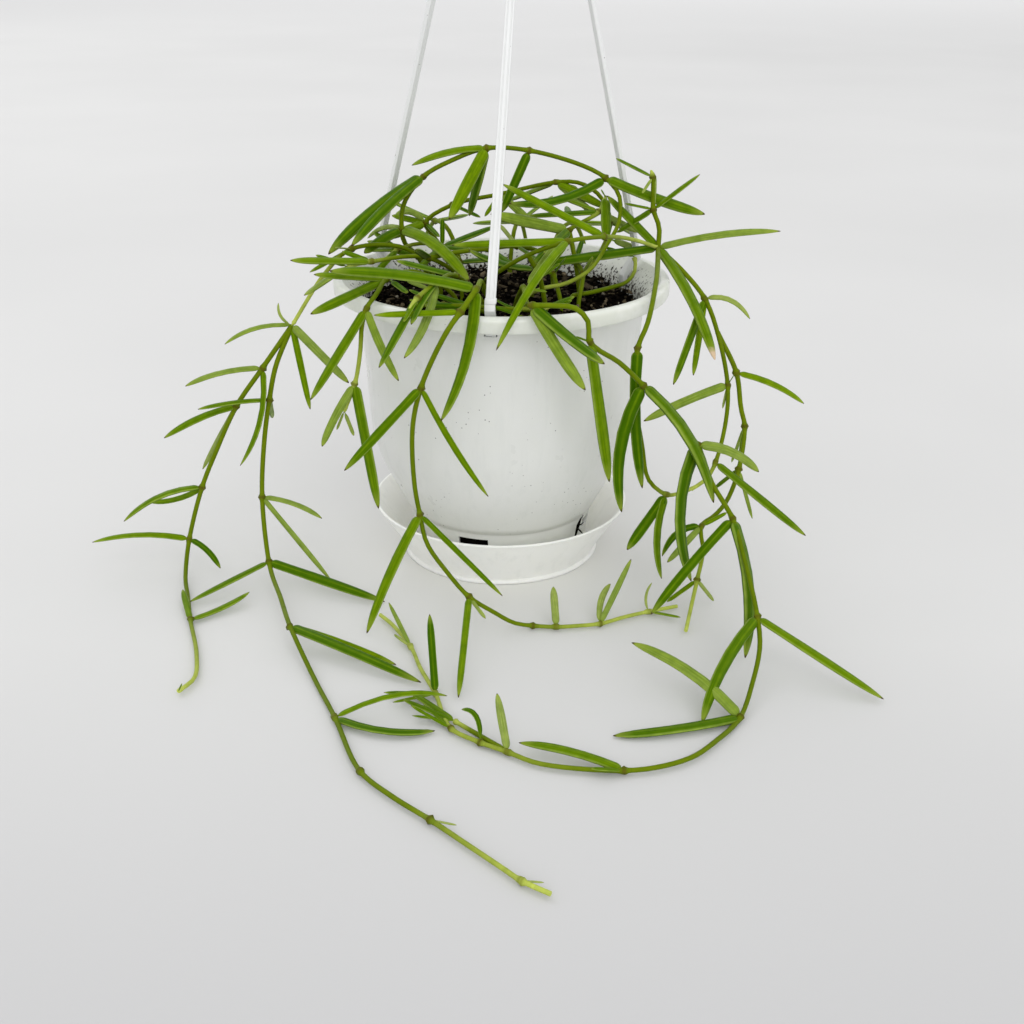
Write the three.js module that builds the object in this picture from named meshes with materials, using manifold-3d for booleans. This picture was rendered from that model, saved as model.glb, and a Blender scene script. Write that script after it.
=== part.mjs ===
import * as THREE from "three";
import { mergeVertices } from "three/addons/utils/BufferGeometryUtils.js";
import Module from "manifold-3d";

// A hoya linearis in a white plastic hanging pot, standing on its saucer.
// Millimetres, +Z up. The origin is the middle of the saucer's underside, on the surface it stands on.
// -Y is the front: the side that the longest stems trail to.

const wasm = await Module();
wasm.setup();

// Driving dimensions of the pot
const roundSides = 32;
const rimHeight = 133;
const rimRadius = 75;
const rimInnerRadius = 70.8;
const skirtBottom = 126.2;
const wallTopRadius = 64;
const wallThickness = 1.5;
const shoulderHeight = 64;
const shoulderRadius = 60.3;
const footTopHeight = 23;
const footTopRadius = 43.4;
const footRadius = 40;
const footRingWidth = 2.6;
const baseUnderside = 7;
const baseTop = 8.8;

// The saucer
const saucerHeight = 26;
const saucerRadius = 60;
const saucerFootRadius = 46.9;
const saucerFloor = 2;
const restingGap = 0.3;

// Holes in the pot
const drainHoles = 6;
const drainHoleRadius = 3;
const drainHoleRing = 24;
const slotCount = 4;
const slotWidth = 14;
const slotHeight = 4.2;
const slotMiddle = 18.6;
const firstSlotTurn = -107;
const windowWidth = 8.5;
const windowBottom = 120.8;
const windowTop = 123.8;

// The hanger: three arms that leave the rim at these turns and run into the hub at these places
const armTurns = [-93.9, 23, 148];
const armTops = [[12, -2], [5, 1], [5, 0]];
const armFootRadius = 69.2;
const armTopHeight = 386;
const armWidthLow = 4.1;
const armWidthHigh = 3;
const armThickness = 2;
const collarWidth = 5.6;
const collarThickness = 2.9;
const collarBottom = 137;
const collarTop = 139.4;
const footWidth = 5;
const hubShift = 8;
const hubRadius = 7;
const hubHeight = 7;
const hookRadius = 13;
const hookThickness = 2.3;
const neckTop = 400;

// The soil
const soilTop = 120;
const soilBump = 0.8;
const soilClearance = 0.35;
const stemHoleRadius = 2.2;
const stemHoleBottom = 95;
const stemRootBottom = 96;

// The plant
const stemSides = 4;
const stemRadius = 1.2;
const stemStep = 12;
const leafWidthBase = 2.1;
const leafWidthPerLength = 0.05;
const leafWidthMost = 4.8;
const leafWidthSpread = 0.12;
// The share of the usual leaf width for each stem in turn, and single leaves that are narrower or wider
const stemWidthShares = [0.65, 0.85, 0.85, 0.85, 0.95, 0.75, 0.85, 0.8, 0.85, 0.85, 0.8, 0.85, 0.8, 0.85];
const ownWidthShares = new Map([
  [103, 0.8], [106, 1.15], [108, 0.85], [109, 1.15], [113, 0.85], [118, 0.8], [121, 0.75], [122, 1.2],
  [126, 0.85], [127, 0.7], [405, 0.6], [407, 0.55], [408, 0.65], [412, 0.8], [413, 0.6], [414, 0.75],
  [502, 1.4], [503, 1.25], [504, 1.1], [507, 0.9], [512, 0.7], [514, 0.9], [515, 0.7], [516, 0.9],
  [522, 0.75], [605, 0.75], [612, 0.75], [617, 1.35],
]);
const leafThickness = 0.5;
const leafTurnMost = 25;
const leafStalk = 3.4;
const leafOverlap = 0.6;
const longLeaf = 34;
const longStations = [[0.5, 1], [0.9, 0.72]];
const shortStations = [[0.84, 0.84]];
const floorClearance = 0.25;

// Small tools

function degrees(turn) {
  return (turn * Math.PI) / 180;
}

// A number from 0 to 1 that depends only on its seed
function seeded(seed) {
  const wave = Math.sin(seed * 12.9898 + 4.1414) * 43758.5453;
  return wave - Math.floor(wave);
}

function toSolid(geometry) {
  const bare = geometry.index ? geometry.toNonIndexed() : geometry.clone();
  bare.deleteAttribute("normal");
  bare.deleteAttribute("uv");
  const merged = mergeVertices(bare, 1e-4);
  const corners = merged.index.array;
  const kept = [];
  for (let i = 0; i < corners.length; i += 3) {
    const [a, b, c] = [corners[i], corners[i + 1], corners[i + 2]];
    if (a !== b && b !== c && c !== a) {
      kept.push(a, b, c);
    }
  }
  return new wasm.Manifold(new wasm.Mesh({
    numProp: 3,
    vertProperties: new Float32Array(merged.attributes.position.array),
    triVerts: new Uint32Array(kept),
  }));
}

function toGeometry(solid) {
  const mesh = solid.getMesh();
  const geometry = new THREE.BufferGeometry();
  geometry.setAttribute("position", new THREE.BufferAttribute(new Float32Array(mesh.vertProperties), 3));
  geometry.setIndex(Array.from(mesh.triVerts));
  geometry.computeVertexNormals();
  return geometry;
}

function joinAll(solids) {
  return solids.reduce((whole, next) => whole.add(next));
}

// A turned solid from its outline of [radius, height] points, upright on Z
function turned(outline, sides = roundSides) {
  const points = outline.map(([radius, height]) => new THREE.Vector2(radius, height));
  return new THREE.LatheGeometry(points, sides).rotateX(Math.PI / 2);
}

// A box given by its size and middle, set out along +X and turned about Z
function turnedBox(size, middle, turn) {
  return new THREE.BoxGeometry(...size).translate(...middle).rotateZ(degrees(turn));
}

function upright(radius, bottom, top, x, y, sides = 8) {
  return new THREE.CylinderGeometry(radius, radius, top - bottom, sides)
    .rotateX(Math.PI / 2)
    .translate(x, y, (bottom + top) / 2);
}

// The pot

// The rounded lower wall: from the shoulder in to the top of the foot
function lowerWall(inset, steps = 4) {
  const curve = new THREE.CubicBezierCurve(
    new THREE.Vector2(shoulderRadius - inset, shoulderHeight),
    new THREE.Vector2(shoulderRadius - 2.8 - inset, shoulderHeight - 17),
    new THREE.Vector2(footTopRadius + 6 - inset, footTopHeight + 12),
    new THREE.Vector2(footTopRadius + 0.9 - inset, footTopHeight + 1.2),
  );
  return curve.getPoints(steps).map((point) => [point.x, point.y]);
}

function makePot() {
  const outside = [
    [0, baseUnderside],
    [footRadius - footRingWidth - 1, baseUnderside],
    [footRadius - footRingWidth, saucerFloor + restingGap],
    [footRadius, saucerFloor + restingGap],
    [footTopRadius, footTopHeight],
    ...lowerWall(0).reverse(),
    [wallTopRadius, 121],
    [65.4, 125],
    [72.9, 129.8],
    [73.2, skirtBottom],
    [74.5, skirtBottom],
    [rimRadius, skirtBottom + 0.8],
    [rimRadius, rimHeight - 1.4],
    [rimRadius - 1.5, rimHeight],
    [rimInnerRadius, rimHeight],
  ];
  const inside = [
    [64.6, 127],
    [wallTopRadius - wallThickness, 121],
    ...lowerWall(wallThickness, 3),
    [footTopRadius - wallThickness, footTopHeight],
    [footRadius - 0.6, baseTop],
    [0, baseTop],
  ];
  let pot = toSolid(turned([...outside, ...inside]));
  for (let i = 0; i < drainHoles; i += 1) {
    const turn = degrees((360 / drainHoles) * i);
    const x = drainHoleRing * Math.cos(turn);
    const y = drainHoleRing * Math.sin(turn);
    pot = pot.subtract(toSolid(upright(drainHoleRadius, 5, 10.5, x, y)));
  }
  for (let i = 0; i < slotCount; i += 1) {
    const slot = turnedBox([12, slotWidth, slotHeight], [footTopRadius, 0, slotMiddle],
      firstSlotTurn + (360 / slotCount) * i);
    pot = pot.subtract(toSolid(slot));
  }
  for (const turn of armTurns) {
    const opening = turnedBox([8, windowWidth, windowTop - windowBottom],
      [wallTopRadius, 0, (windowTop + windowBottom) / 2], turn);
    pot = pot.subtract(toSolid(opening));
  }
  return pot;
}

// The saucer: a flat foot with a small flange, and a wall that flares out to a thin rim
function makeSaucer() {
  return toSolid(turned([
    [0, 0],
    [saucerFootRadius, 0],
    [saucerFootRadius, 1.4],
    [saucerFootRadius - 1.3, 2.1],
    [49.8, 9.8],
    [57, 21],
    [saucerRadius, saucerHeight - 0.6],
    [saucerRadius - 0.2, saucerHeight],
    [saucerRadius - 1.2, saucerHeight],
    [55.4, 21.2],
    [48.2, 10.2],
    [43.4, saucerFloor],
    [0, saucerFloor],
  ]));
}

// The hanger

// Where an arm's middle line is at a height, with the arm's foot turned to +X
function armPoint(height, top) {
  const share = (height - rimHeight) / (armTopHeight - rimHeight);
  return [armFootRadius + (top[0] - armFootRadius) * share, top[1] * share];
}

// A flat length of arm between two heights: eight corners, wider below than above
function armLength(low, high, widthLow, widthHigh, thickness, top) {
  const corners = [];
  for (const [height, width] of [[low, widthLow], [high, widthHigh]]) {
    const [x, y] = armPoint(height, top);
    for (const [out, side] of [[-1, -1], [1, -1], [1, 1], [-1, 1]]) {
      corners.push([x + (out * thickness) / 2, y + (side * width) / 2, height]);
    }
  }
  const faces = [
    [0, 2, 1], [0, 3, 2], [4, 5, 6], [4, 6, 7],
    [0, 1, 5], [0, 5, 4], [1, 2, 6], [1, 6, 5],
    [2, 3, 7], [2, 7, 6], [3, 0, 4], [3, 4, 7],
  ];
  return facesToGeometry(corners, faces);
}

function facesToGeometry(corners, faces) {
  const geometry = new THREE.BufferGeometry();
  geometry.setAttribute("position", new THREE.BufferAttribute(new Float32Array(corners.flat()), 3));
  geometry.setIndex(faces.flat());
  return geometry;
}

// The foot follows the flared rim down inside the pot, and its barb sits in the window below the lip
function armFoot() {
  const shape = new THREE.Shape([
    [68.8, 138.2], [69.6, 134.4], [66.2, 130.6], [63.1, 126.4], [62.3, 123.9],
    [64.4, 123.5], [64.4, 121.1], [60.2, 121.1], [60.4, 126.9], [63.4, 131.7], [66.5, 135.2], [66.8, 138.2],
  ].map(([radius, height]) => new THREE.Vector2(radius, height)));
  return new THREE.ExtrudeGeometry(shape, { depth: footWidth, bevelEnabled: false, steps: 1 })
    .rotateX(Math.PI / 2)
    .translate(0, footWidth / 2, 0);
}

function makeHook() {
  const bend = [];
  for (let i = 0; i <= 10; i += 1) {
    const turn = degrees(-60 + 26 * i);
    bend.push(new THREE.Vector3(hookRadius * Math.cos(turn), 0, neckTop + 17 + hookRadius * Math.sin(turn)));
  }
  const path = new THREE.CatmullRomCurve3([
    new THREE.Vector3(hubShift, 0, armTopHeight),
    new THREE.Vector3(hubShift, 0, neckTop - 3),
    ...bend,
  ]);
  const round = new THREE.Shape();
  round.absarc(0, 0, hookThickness, 0, Math.PI * 2);
  return new THREE.ExtrudeGeometry(round, {
    steps: 18, curveSegments: 4, bevelEnabled: false, extrudePath: path,
  });
}

function makeHanger() {
  const hubBottom = armTopHeight - hubHeight;
  const pieces = [
    toSolid(turned([
      [0, hubBottom], [hubRadius - 1.2, hubBottom], [hubRadius, hubBottom + 1.5],
      [hubRadius, armTopHeight - 1], [hubRadius - 2.4, armTopHeight + 2], [0, armTopHeight + 3.5],
    ], 14).translate(hubShift, 0, 0)),
    toSolid(makeHook()),
  ];
  armTurns.forEach((turn, index) => {
    const back = degrees(-turn);
    const [x, y] = armTops[index];
    const top = [x * Math.cos(back) - y * Math.sin(back), x * Math.sin(back) + y * Math.cos(back)];
    const parts = [
      armLength(collarBottom + 0.7, armTopHeight - 3, armWidthLow, armWidthHigh, armThickness, top),
      armLength(collarBottom, collarTop, collarWidth, collarWidth, collarThickness, top),
      armFoot(),
    ];
    pieces.push(joinAll(parts.map(toSolid)).rotate([0, 0, turn]));
  });
  return joinAll(pieces);
}

// The plant. A joint is where a pair of leaves grows: its place, then its leaves.
// A leaf is the step from its joint to its tip, and three more numbers push its middle aside.
// The places are chosen by eye to follow the stems of the real plant.

function joint(x, y, z, ...leaves) {
  return { at: [x, y, z], leaves };
}

// The upright start of a stem, which stands in the soil
function rooted(x, y) {
  return [joint(x, y, stemRootBottom), joint(x, y, 119), joint(x, y, 124)];
}

const leftVine = [
  [
    ...rooted(-28, 8),
    joint(-42, 2, 143), joint(-66, -7, 145, [-6, -11, 3], [-18, -6, -9]), joint(-77, -14, 136),
    joint(-92, -20, 114, [-29, -6, -7, -1, 0, 3], [-6, 4, 9, -2, 0, -1], [8, -14, -34], [28, -34, -15]),
  ],
  [
    joint(-92, -20, 114),
    joint(-106, -22, 95, [-33, -8, -6, -1, 0, 2], [-11, -12, -42, 4, 0, -1]),
    joint(-119, -22, 77, [-33, -4, -14, 0, 0, 2], [-20, 8, -34]),
    joint(-130, -24, 55),
    joint(-137, -26, 39, [-34, -12, -12, -1, 0, 4], [-28, 10, -12, 1, 0, -2]),
    joint(-144, -31, 15, [-43, -6, 1, 0, 0, 3], [16, -12, -9, 1, 0, 2]),
    joint(-143, -48, 4),
    joint(-139, -62, 2),
    joint(-133, -84, 2, [-8, 22, 3], [22, 20, 3, 1, 0, -1]),
    joint(-124, -113, 2),
    joint(-121, -132, 2),
    joint(-125, -141, 2, [3, -4, 6]),
  ],
  [
    joint(-92, -20, 114),
    joint(-100, -22, 96),
    joint(-104, -22, 80, [-30, -10, -1, 0, 0, 1], [-4, 26, -18]),
    joint(-107, -25, 62),
    joint(-109, -30, 36, [28, -8, -7, 1, 0, 2], [33, -22, -32]),
    joint(-105, -46, 11, [54, -21, -9], [-32, -22, -9]),
    joint(-95, -76, 8),
    joint(-87, -102, 9, [45, -17, -8, 0, 0, 1], [56, -32, -7, -1, 0, 1]),
    joint(-74, -130, 2),
    joint(-62, -159, 2, [38, -7, -1, 0, -6, 1], [42, 9, 4, 1, 0, 5]),
    joint(-49, -193, 2),
    joint(-37, -207, 2),
    joint(-23, -220, 2, [9, -4, 1]),
    joint(-10, -233, 2),
    joint(1, -244, 2),
    joint(7, -250, 2, [7, -2, 1]),
    joint(16, -256, 2),
  ],
];

const shortVine = [
  [
    ...rooted(-20, -12),
    joint(-36, -24, 139),
    joint(-48, -40, 140, [-27, -22, 7], [-28, -30, -7], [-16, 8, 0]),
    joint(-51, -52, 137),
    joint(-55, -58, 132, [-23, -12, -35], [14, -20, -24, -1, 0, 0]),
    joint(-57, -59, 125),
    joint(-58, -59, 115),
    joint(-61, -58, 100, [-14, -8, -25, -1, 0, 0], [10, -20, -48]),
    joint(-66, -58, 88, [4, -3, -10], [-3, -4, -7]),
  ],
];

const highLeftVine = [
  [
    ...rooted(-12, 2),
    joint(-32, -10, 142, [-4, -24, 9]),
    joint(-56, -22, 143, [-32, -16, 4], [-13, 6, 3]),
    joint(-66, -27, 142, [-14, 8, 3], [-16, -18, -8]),
  ],
  [
    joint(-32, -10, 142),
    joint(-18, -2, 143),
    joint(-6, 4, 143, [14, -16, -6]),
    joint(7, 14, 142, [10, -16, -3], [-8, 14, 7]),
    joint(20, 22, 136),
    ...rooted(24, 26).reverse(),
  ],
];

const middleVine = [
  [
    ...rooted(-4, -36),
    joint(-8, -50, 141),
    joint(-10, -72, 144, [-14, -14, -50, 3, -2, -1], [-59, 12, 4, 0, 0, 2]),
    joint(-16, -80, 137, [-34, 2, -2]),
    joint(-20, -83, 132),
    joint(-25, -83, 123),
    joint(-32, -80, 106, [-31, -10, -32], [27, -8, -44, -1, 0, -1]),
    joint(-36, -77, 88),
    joint(-36, -75, 62),
    joint(-34, -75, 48, [-22, -22, -45, -1, 0, 1], [35, -22, -27, 0, 0, 0]),
    joint(-31, -80, 37),
    joint(-22, -88, 27),
    joint(-13, -94, 19, [-3, -51, -17], [7, -6, -7]),
    joint(-3, -94, 12),
    joint(6, -91, 5),
    joint(14, -88, 2),
    joint(24, -89, 2, [-1, 14, 12]),
    joint(33, -88, 2),
    joint(43, -86, 2, [5, 14, 12, -2, 0, 1], [13, 10, 26]),
    joint(54, -80, 2),
    joint(65, -75, 2, [2, 10, 9, -2, 0, 0], [13, -7, 1]),
    joint(78, -70, 2),
  ],
  [
    ...rooted(-8, -20),
    joint(-19, -42, 142, [-24, -8, 8]),
    joint(-26, -66, 145, [-9, -18, -12, -1, 0, 0], [-12, -20, -25, 2, 0, -1]),
    joint(-33, -74, 141, [-15, -12, -25], [-5, -10, -7]),
    joint(-36, -79, 138),
  ],
  [
    joint(-4, -36, 124),
    joint(-12, -46, 130, [-20, -6, 2], [-17, 8, 3]),
    joint(4, -53, 131),
    joint(20, -54, 132, [9, 4, 2], [8, -3, 4]),
  ],
  [
    joint(-12, -46, 130),
    joint(-24, -48, 131, [-15, 10, 4], [-14, -3, 3]),
    joint(-34, -38, 128),
    ...rooted(-36, -30).reverse(),
  ],
];

const frontVine = [
  [
    ...rooted(6, -26),
    joint(9, -46, 138, [10, 6, -3]),
    joint(10, -66, 137),
    joint(12, -77, 139, [28, -15, -19, 0, 0, -1], [21, -14, -30, -1, 0, 0]),
    joint(21, -77, 139),
    joint(29, -77, 138),
    joint(34, -78, 133),
    joint(35, -79, 125, [10, 0, -60], [-6, -3, 3]),
    joint(48, -72, 114),
    joint(58, -70, 104, [30, -14, -46, 4, 0, 3], [-7, -6, -54, -5, 0, 1]),
    joint(69, -71, 92),
    joint(81, -75, 80, [26, -2, -11, 1, 0, 3], [0, -10, -58, -6, 0, 1]),
    joint(87, -81, 66),
    joint(95, -91, 54, [-33, -14, -37, -1, 0, 0], [5, -25, -51, 4, 0, 0]),
    joint(99, -103, 41),
    joint(103, -118, 23, [46, -27, -21], [-27, -44, -21, -3, 0, 1]),
    joint(103, -127, 15),
    joint(98, -142, 7),
    joint(91, -158, 2, [-39, 30, 15, 2, 0, 3], [-49, -11, -1, 0, -3, 1]),
    joint(80, -173, 2),
    joint(69, -184, 2),
    joint(56, -190, 2),
    joint(44, -192, 2, [-37, 14, 2, 1, 1, 1], [-12, -3, 3]),
    joint(22, -190, 2),
    joint(12, -187, 2),
    joint(3, -181, 2, [-4, 14, 16]),
    joint(-7, -175, 2, [-7, 8, 9, 2, 0, 4]),
    joint(-18, -166, 2, [-11, 13, 2], [-15, 3, 8]),
    joint(-25, -142, 2, [-3, 22, 23], [-20, -1, 1], [-16, -8, 1]),
    joint(-32, -123, 2),
    joint(-37, -106, 2, [-10, 16, 12], [-7, 3, 4]),
    joint(-47, -86, 2),
    joint(-52, -79, 2),
  ],
  [
    joint(3, -181, 2),
    joint(-6, -172, 2),
    joint(-17, -161, 2, [-18, 19, 1], [-20, 10, 3], [-16, 2, 1]),
  ],
  [
    joint(6, -26, 124),
    joint(14, -40, 126, [17, 4, 6]),
    joint(6, -56, 126),
    joint(-12, -58, 126, [-18, 2, 2], [-14, 9, 1]),
  ],
];

const rightVine = [
  [
    ...rooted(-8, 10),
    joint(-2, -28, 140),
    joint(11, -38, 150),
    joint(27, -44, 157, [-29, -44, -33, 1, 0, 6], [-15, 2, -20], [-48, 14, -5]),
    joint(43, -30, 156, [-43, 26, 17]),
    joint(58, -8, 150),
    joint(70, 4, 144, [53, -6, 9, 0, 0, 2], [-58, -10, -6], [-23, 10, 21], [22, -42, -39, 2, 0, 2]),
  ],
  [
    joint(11, -38, 150),
    joint(16, -32, 139, [9, 9, 4]),
    ...rooted(19, -28).reverse(),
  ],
  [
    joint(70, 4, 144),
    joint(70, 4, 153),
    joint(67, 4, 161, [-12, 8, 1], [-15, 8, -12], [19, -4, 16], [0, 0, 15]),
    joint(66, 4, 175, [-16, 6, 7], [-5, -6, -6]),
    joint(65, 4, 178),
  ],
  [
    joint(70, 4, 144),
    joint(68, -14, 142),
    joint(65, -36, 138),
    joint(60, -56, 126),
    joint(56, -61, 117, [4, -8, -59, -2, 0, 0]),
    joint(56, -62, 95),
    joint(60, -60, 74),
    joint(64, -58, 57),
    joint(72, -57, 50, [-17, -10, -22], [-2, -16, -33, -3, 0, 0]),
    joint(79, -53, 49),
    joint(86, -50, 51),
  ],
  [
    joint(70, 4, 144),
    joint(81, -4, 135),
    joint(90, -12, 125, [20, -4, -8, 1, 0, 4], [-5, -14, -31], [-15, -24, -32]),
    joint(96, -16, 111),
    joint(101, -24, 89, [-39, -20, -10, 0, 0, 1], [2, -3, 6], [-2, -3, -10]),
    joint(100, -32, 75),
    joint(95, -42, 59, [40, -14, -29]),
    joint(91, -46, 53),
    joint(84, -49, 49),
  ],
  [
    joint(96, -16, 111),
    joint(106, -16, 92, [31, -4, -13, 1, 0, 2]),
    joint(109, -18, 76),
    joint(111, -20, 68, [-2, -4, -12], [-3, 8, -21]),
    joint(108, -30, 51, [-9, 8, -13], [7, -6, -22]),
    joint(102, -40, 40),
    joint(96, -47, 36),
    joint(89, -53, 33, [-18, -10, -10, -2, 0, 4], [-17, -20, -8], [12, 6, 4]),
    joint(89, -62, 25),
    joint(86, -70, 15, [-12, 4, -13], [9, 5, -13]),
    joint(83, -78, 7),
    joint(79, -92, 2),
  ],
];

const archVine = [
  [
    ...rooted(-34, 24),
    joint(-39, 20, 136, [-24, 12, 4]),
    joint(-44, 14, 143),
    joint(-45, 10, 150, [-16, -12, -8, 0, 0, 1], [31, -34, -15, 1, 0, 4]),
    joint(-44, 10, 161),
    joint(-35, 13, 173, [-41, -22, -30, -1, 0, 2], [-30, -28, -25, -1, 0, 1]),
    joint(-22, 15, 180),
    joint(-7, 16, 185, [-33, -4, -7, 0, 0, 2], [-16, -22, -27], [-8, 6, -31]),
    joint(12, 17, 184, [-12, -6, -26]),
    joint(36, 14, 178),
    joint(46, 12, 173, [-43, -12, -9, 1, 0, -4], [44, -8, -14, 0, 0, -1]),
    joint(52, 9, 166),
    joint(52, 5, 155),
    joint(46, -3, 146),
    joint(39, -12, 138),
    joint(28, -18, 133),
    joint(17, -20, 131),
    ...rooted(10, -13).reverse(),
  ],
];

const backArchVine = [
  [
    ...rooted(-22, 42),
    joint(-32, 41, 140),
    joint(-36, 40, 147, [-16, 2, 3], [7, -12, -4], [-17, -14, -4], [-6, 15, -3]),
    joint(-23, 38, 156, [13, -4, -5]),
    joint(-1, 38, 161, [-7, -7, -9], [16, -16, -11]),
    joint(25, 36, 167, [23, -8, -10], [10, 4, -3], [-22, 18, -12]),
    joint(36, 34, 167),
    joint(45, 30, 162),
    joint(50, 26, 151, [14, 30, -12]),
    joint(46, 24, 138),
    ...rooted(36, 22).reverse(),
  ],
];

const innerRightVine = [
  [
    ...rooted(14, 10),
    joint(21, 6, 138),
    joint(30, 6, 151, [-35, -10, 9], [-12, -30, -4], [-17, -24, -10]),
    joint(37, 12, 154),
    joint(44, 18, 157, [-33, -6, -1], [-17, 8, 5], [19, 4, -10]),
    joint(47, 22, 163, [0, -14, -17], [-2, 2, 3]),
  ],
  [
    joint(30, 6, 151),
    joint(33, 3, 138, [4, 14, 7]),
    ...rooted(35, 0).reverse(),
  ],
  [
    joint(21, 6, 138),
    joint(23, -6, 134, [-9, -9, 7], [5, -6, 9]),
    ...rooted(26, -18).reverse(),
  ],
  [
    joint(33, 3, 138),
    joint(36, -4, 134, [4, -6, 9]),
    ...rooted(34, -15).reverse(),
  ],
];

const innerLeftVine = [
  [
    ...rooted(-20, 22),
    joint(-23, 14, 136),
    joint(-27, 12, 142, [0, 6, 12], [24, 12, 7], [13, -10, 1], [-10, -16, -6]),
    joint(-37, 14, 143),
    joint(-47, 10, 141, [-16, 12, -3], [-12, 10, 6], [-9, -14, -7]),
    joint(-53, 6, 137),
  ],
  [
    joint(-27, 12, 142),
    joint(-19, 8, 136, [22, -8, 4], [-5, -12, 4]),
    ...rooted(-18, 4).reverse(),
  ],
];

const curledVine = [
  [
    ...rooted(30, -8),
    joint(40, -6, 126),
    joint(50, 0, 127),
    joint(57, 6, 128),
    joint(61, 12, 132),
    joint(61, 16, 137, [-14, 2, 4], [-5, 5, 1]),
  ],
];

const backLeftVine = [
  [
    ...rooted(-20, 52),
    joint(-26, 58, 140),
    joint(-33, 69, 142, [-24, 20, 6], [16, 26, -2]),
    joint(-39, 79, 130),
    joint(-43, 83, 112, [-18, 22, -28], [20, 12, -34]),
    joint(-45, 85, 88),
    joint(-44, 87, 60, [-14, 24, -32], [24, 14, -30]),
    joint(-42, 91, 34),
    joint(-36, 98, 13, [-26, 24, -9], [24, 26, -8]),
    joint(-24, 107, 3),
    joint(-8, 112, 2, [-27, 16, 3], [16, -24, 5]),
    joint(8, 110, 2, [9, 4, 3], [7, -7, 2]),
  ],
];

const backMiddleVine = [
  [
    ...rooted(4, 50),
    joint(6, 58, 140),
    joint(9, 71, 142, [-24, 22, -6], [17, 24, 8]),
    joint(12, 81, 131),
    joint(14, 85, 112, [-20, 16, -32], [12, 20, -34]),
    joint(13, 87, 86),
    joint(10, 88, 64, [-10, 10, -24], [12, 8, -26], [2, 12, -8]),
  ],
];

const backRightVine = [
  [
    ...rooted(22, 46),
    joint(28, 56, 140),
    joint(35, 67, 142, [30, 18, -4], [-2, 32, 2]),
    joint(41, 77, 131),
    joint(45, 81, 112, [16, 22, -34], [-8, 24, -30]),
    joint(47, 84, 84),
    joint(45, 88, 54, [14, 26, -32], [-24, 20, -24]),
    joint(40, 94, 26),
    joint(32, 104, 7, [30, 22, -4], [-14, 30, -4]),
    joint(20, 116, 2),
    joint(4, 125, 2, [-20, 8, 6], [-6, 24, 4]),
  ],
];

// The points that a stem is drawn through: a smooth curve that keeps every joint
function stemPoints(strand) {
  const places = strand.map(({ at }) => new THREE.Vector3(...at));
  const curve = new THREE.CatmullRomCurve3(places, false, "centripetal");
  const last = strand.length - 1;
  const points = [];
  for (let i = 0; i < last; i += 1) {
    const from = curve.getPoint(i / last);
    const to = curve.getPoint((i + 1) / last);
    const steps = Math.max(1, Math.round(from.distanceTo(to) / stemStep));
    for (let k = 0; k < steps; k += 1) {
      points.push(curve.getPoint((i + k / steps) / last));
    }
  }
  points.push(curve.getPoint(1));
  return points;
}

// A stem: rings of corners round its points, each ring carried on from the one before without twist
function makeStem(strand) {
  const points = stemPoints(strand);
  const last = points.length - 1;
  const side = new THREE.Vector3(1, 0.2, 0.1);
  const corners = [];
  points.forEach((point, index) => {
    const along = points[Math.min(last, index + 1)].clone().sub(points[Math.max(0, index - 1)]).normalize();
    side.addScaledVector(along, -side.dot(along)).normalize();
    const across = new THREE.Vector3().crossVectors(along, side);
    for (let i = 0; i < stemSides; i += 1) {
      const turn = (2 * Math.PI * i) / stemSides;
      const corner = point.clone()
        .addScaledVector(side, stemRadius * Math.cos(turn))
        .addScaledVector(across, stemRadius * Math.sin(turn));
      corners.push(corner.toArray());
    }
  });
  const faces = [];
  for (let i = 0; i < stemSides; i += 1) {
    const next = (i + 1) % stemSides;
    for (let ring = 0; ring < last; ring += 1) {
      const a = ring * stemSides + i;
      const b = ring * stemSides + next;
      faces.push([a, b, b + stemSides], [a, b + stemSides, a + stemSides]);
    }
    if (i > 0 && i < stemSides - 1) {
      faces.push([0, next, i], [last * stemSides, last * stemSides + i, last * stemSides + next]);
    }
  }
  return facesToGeometry(corners, faces);
}

// Leaves turn their faces to the light: up, and out to the side of the pot that they hang on
function lightFrom([x, y]) {
  return new THREE.Vector3(x / 250, y < 45 ? -0.6 : 0.6, 0.8).normalize();
}

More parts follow.
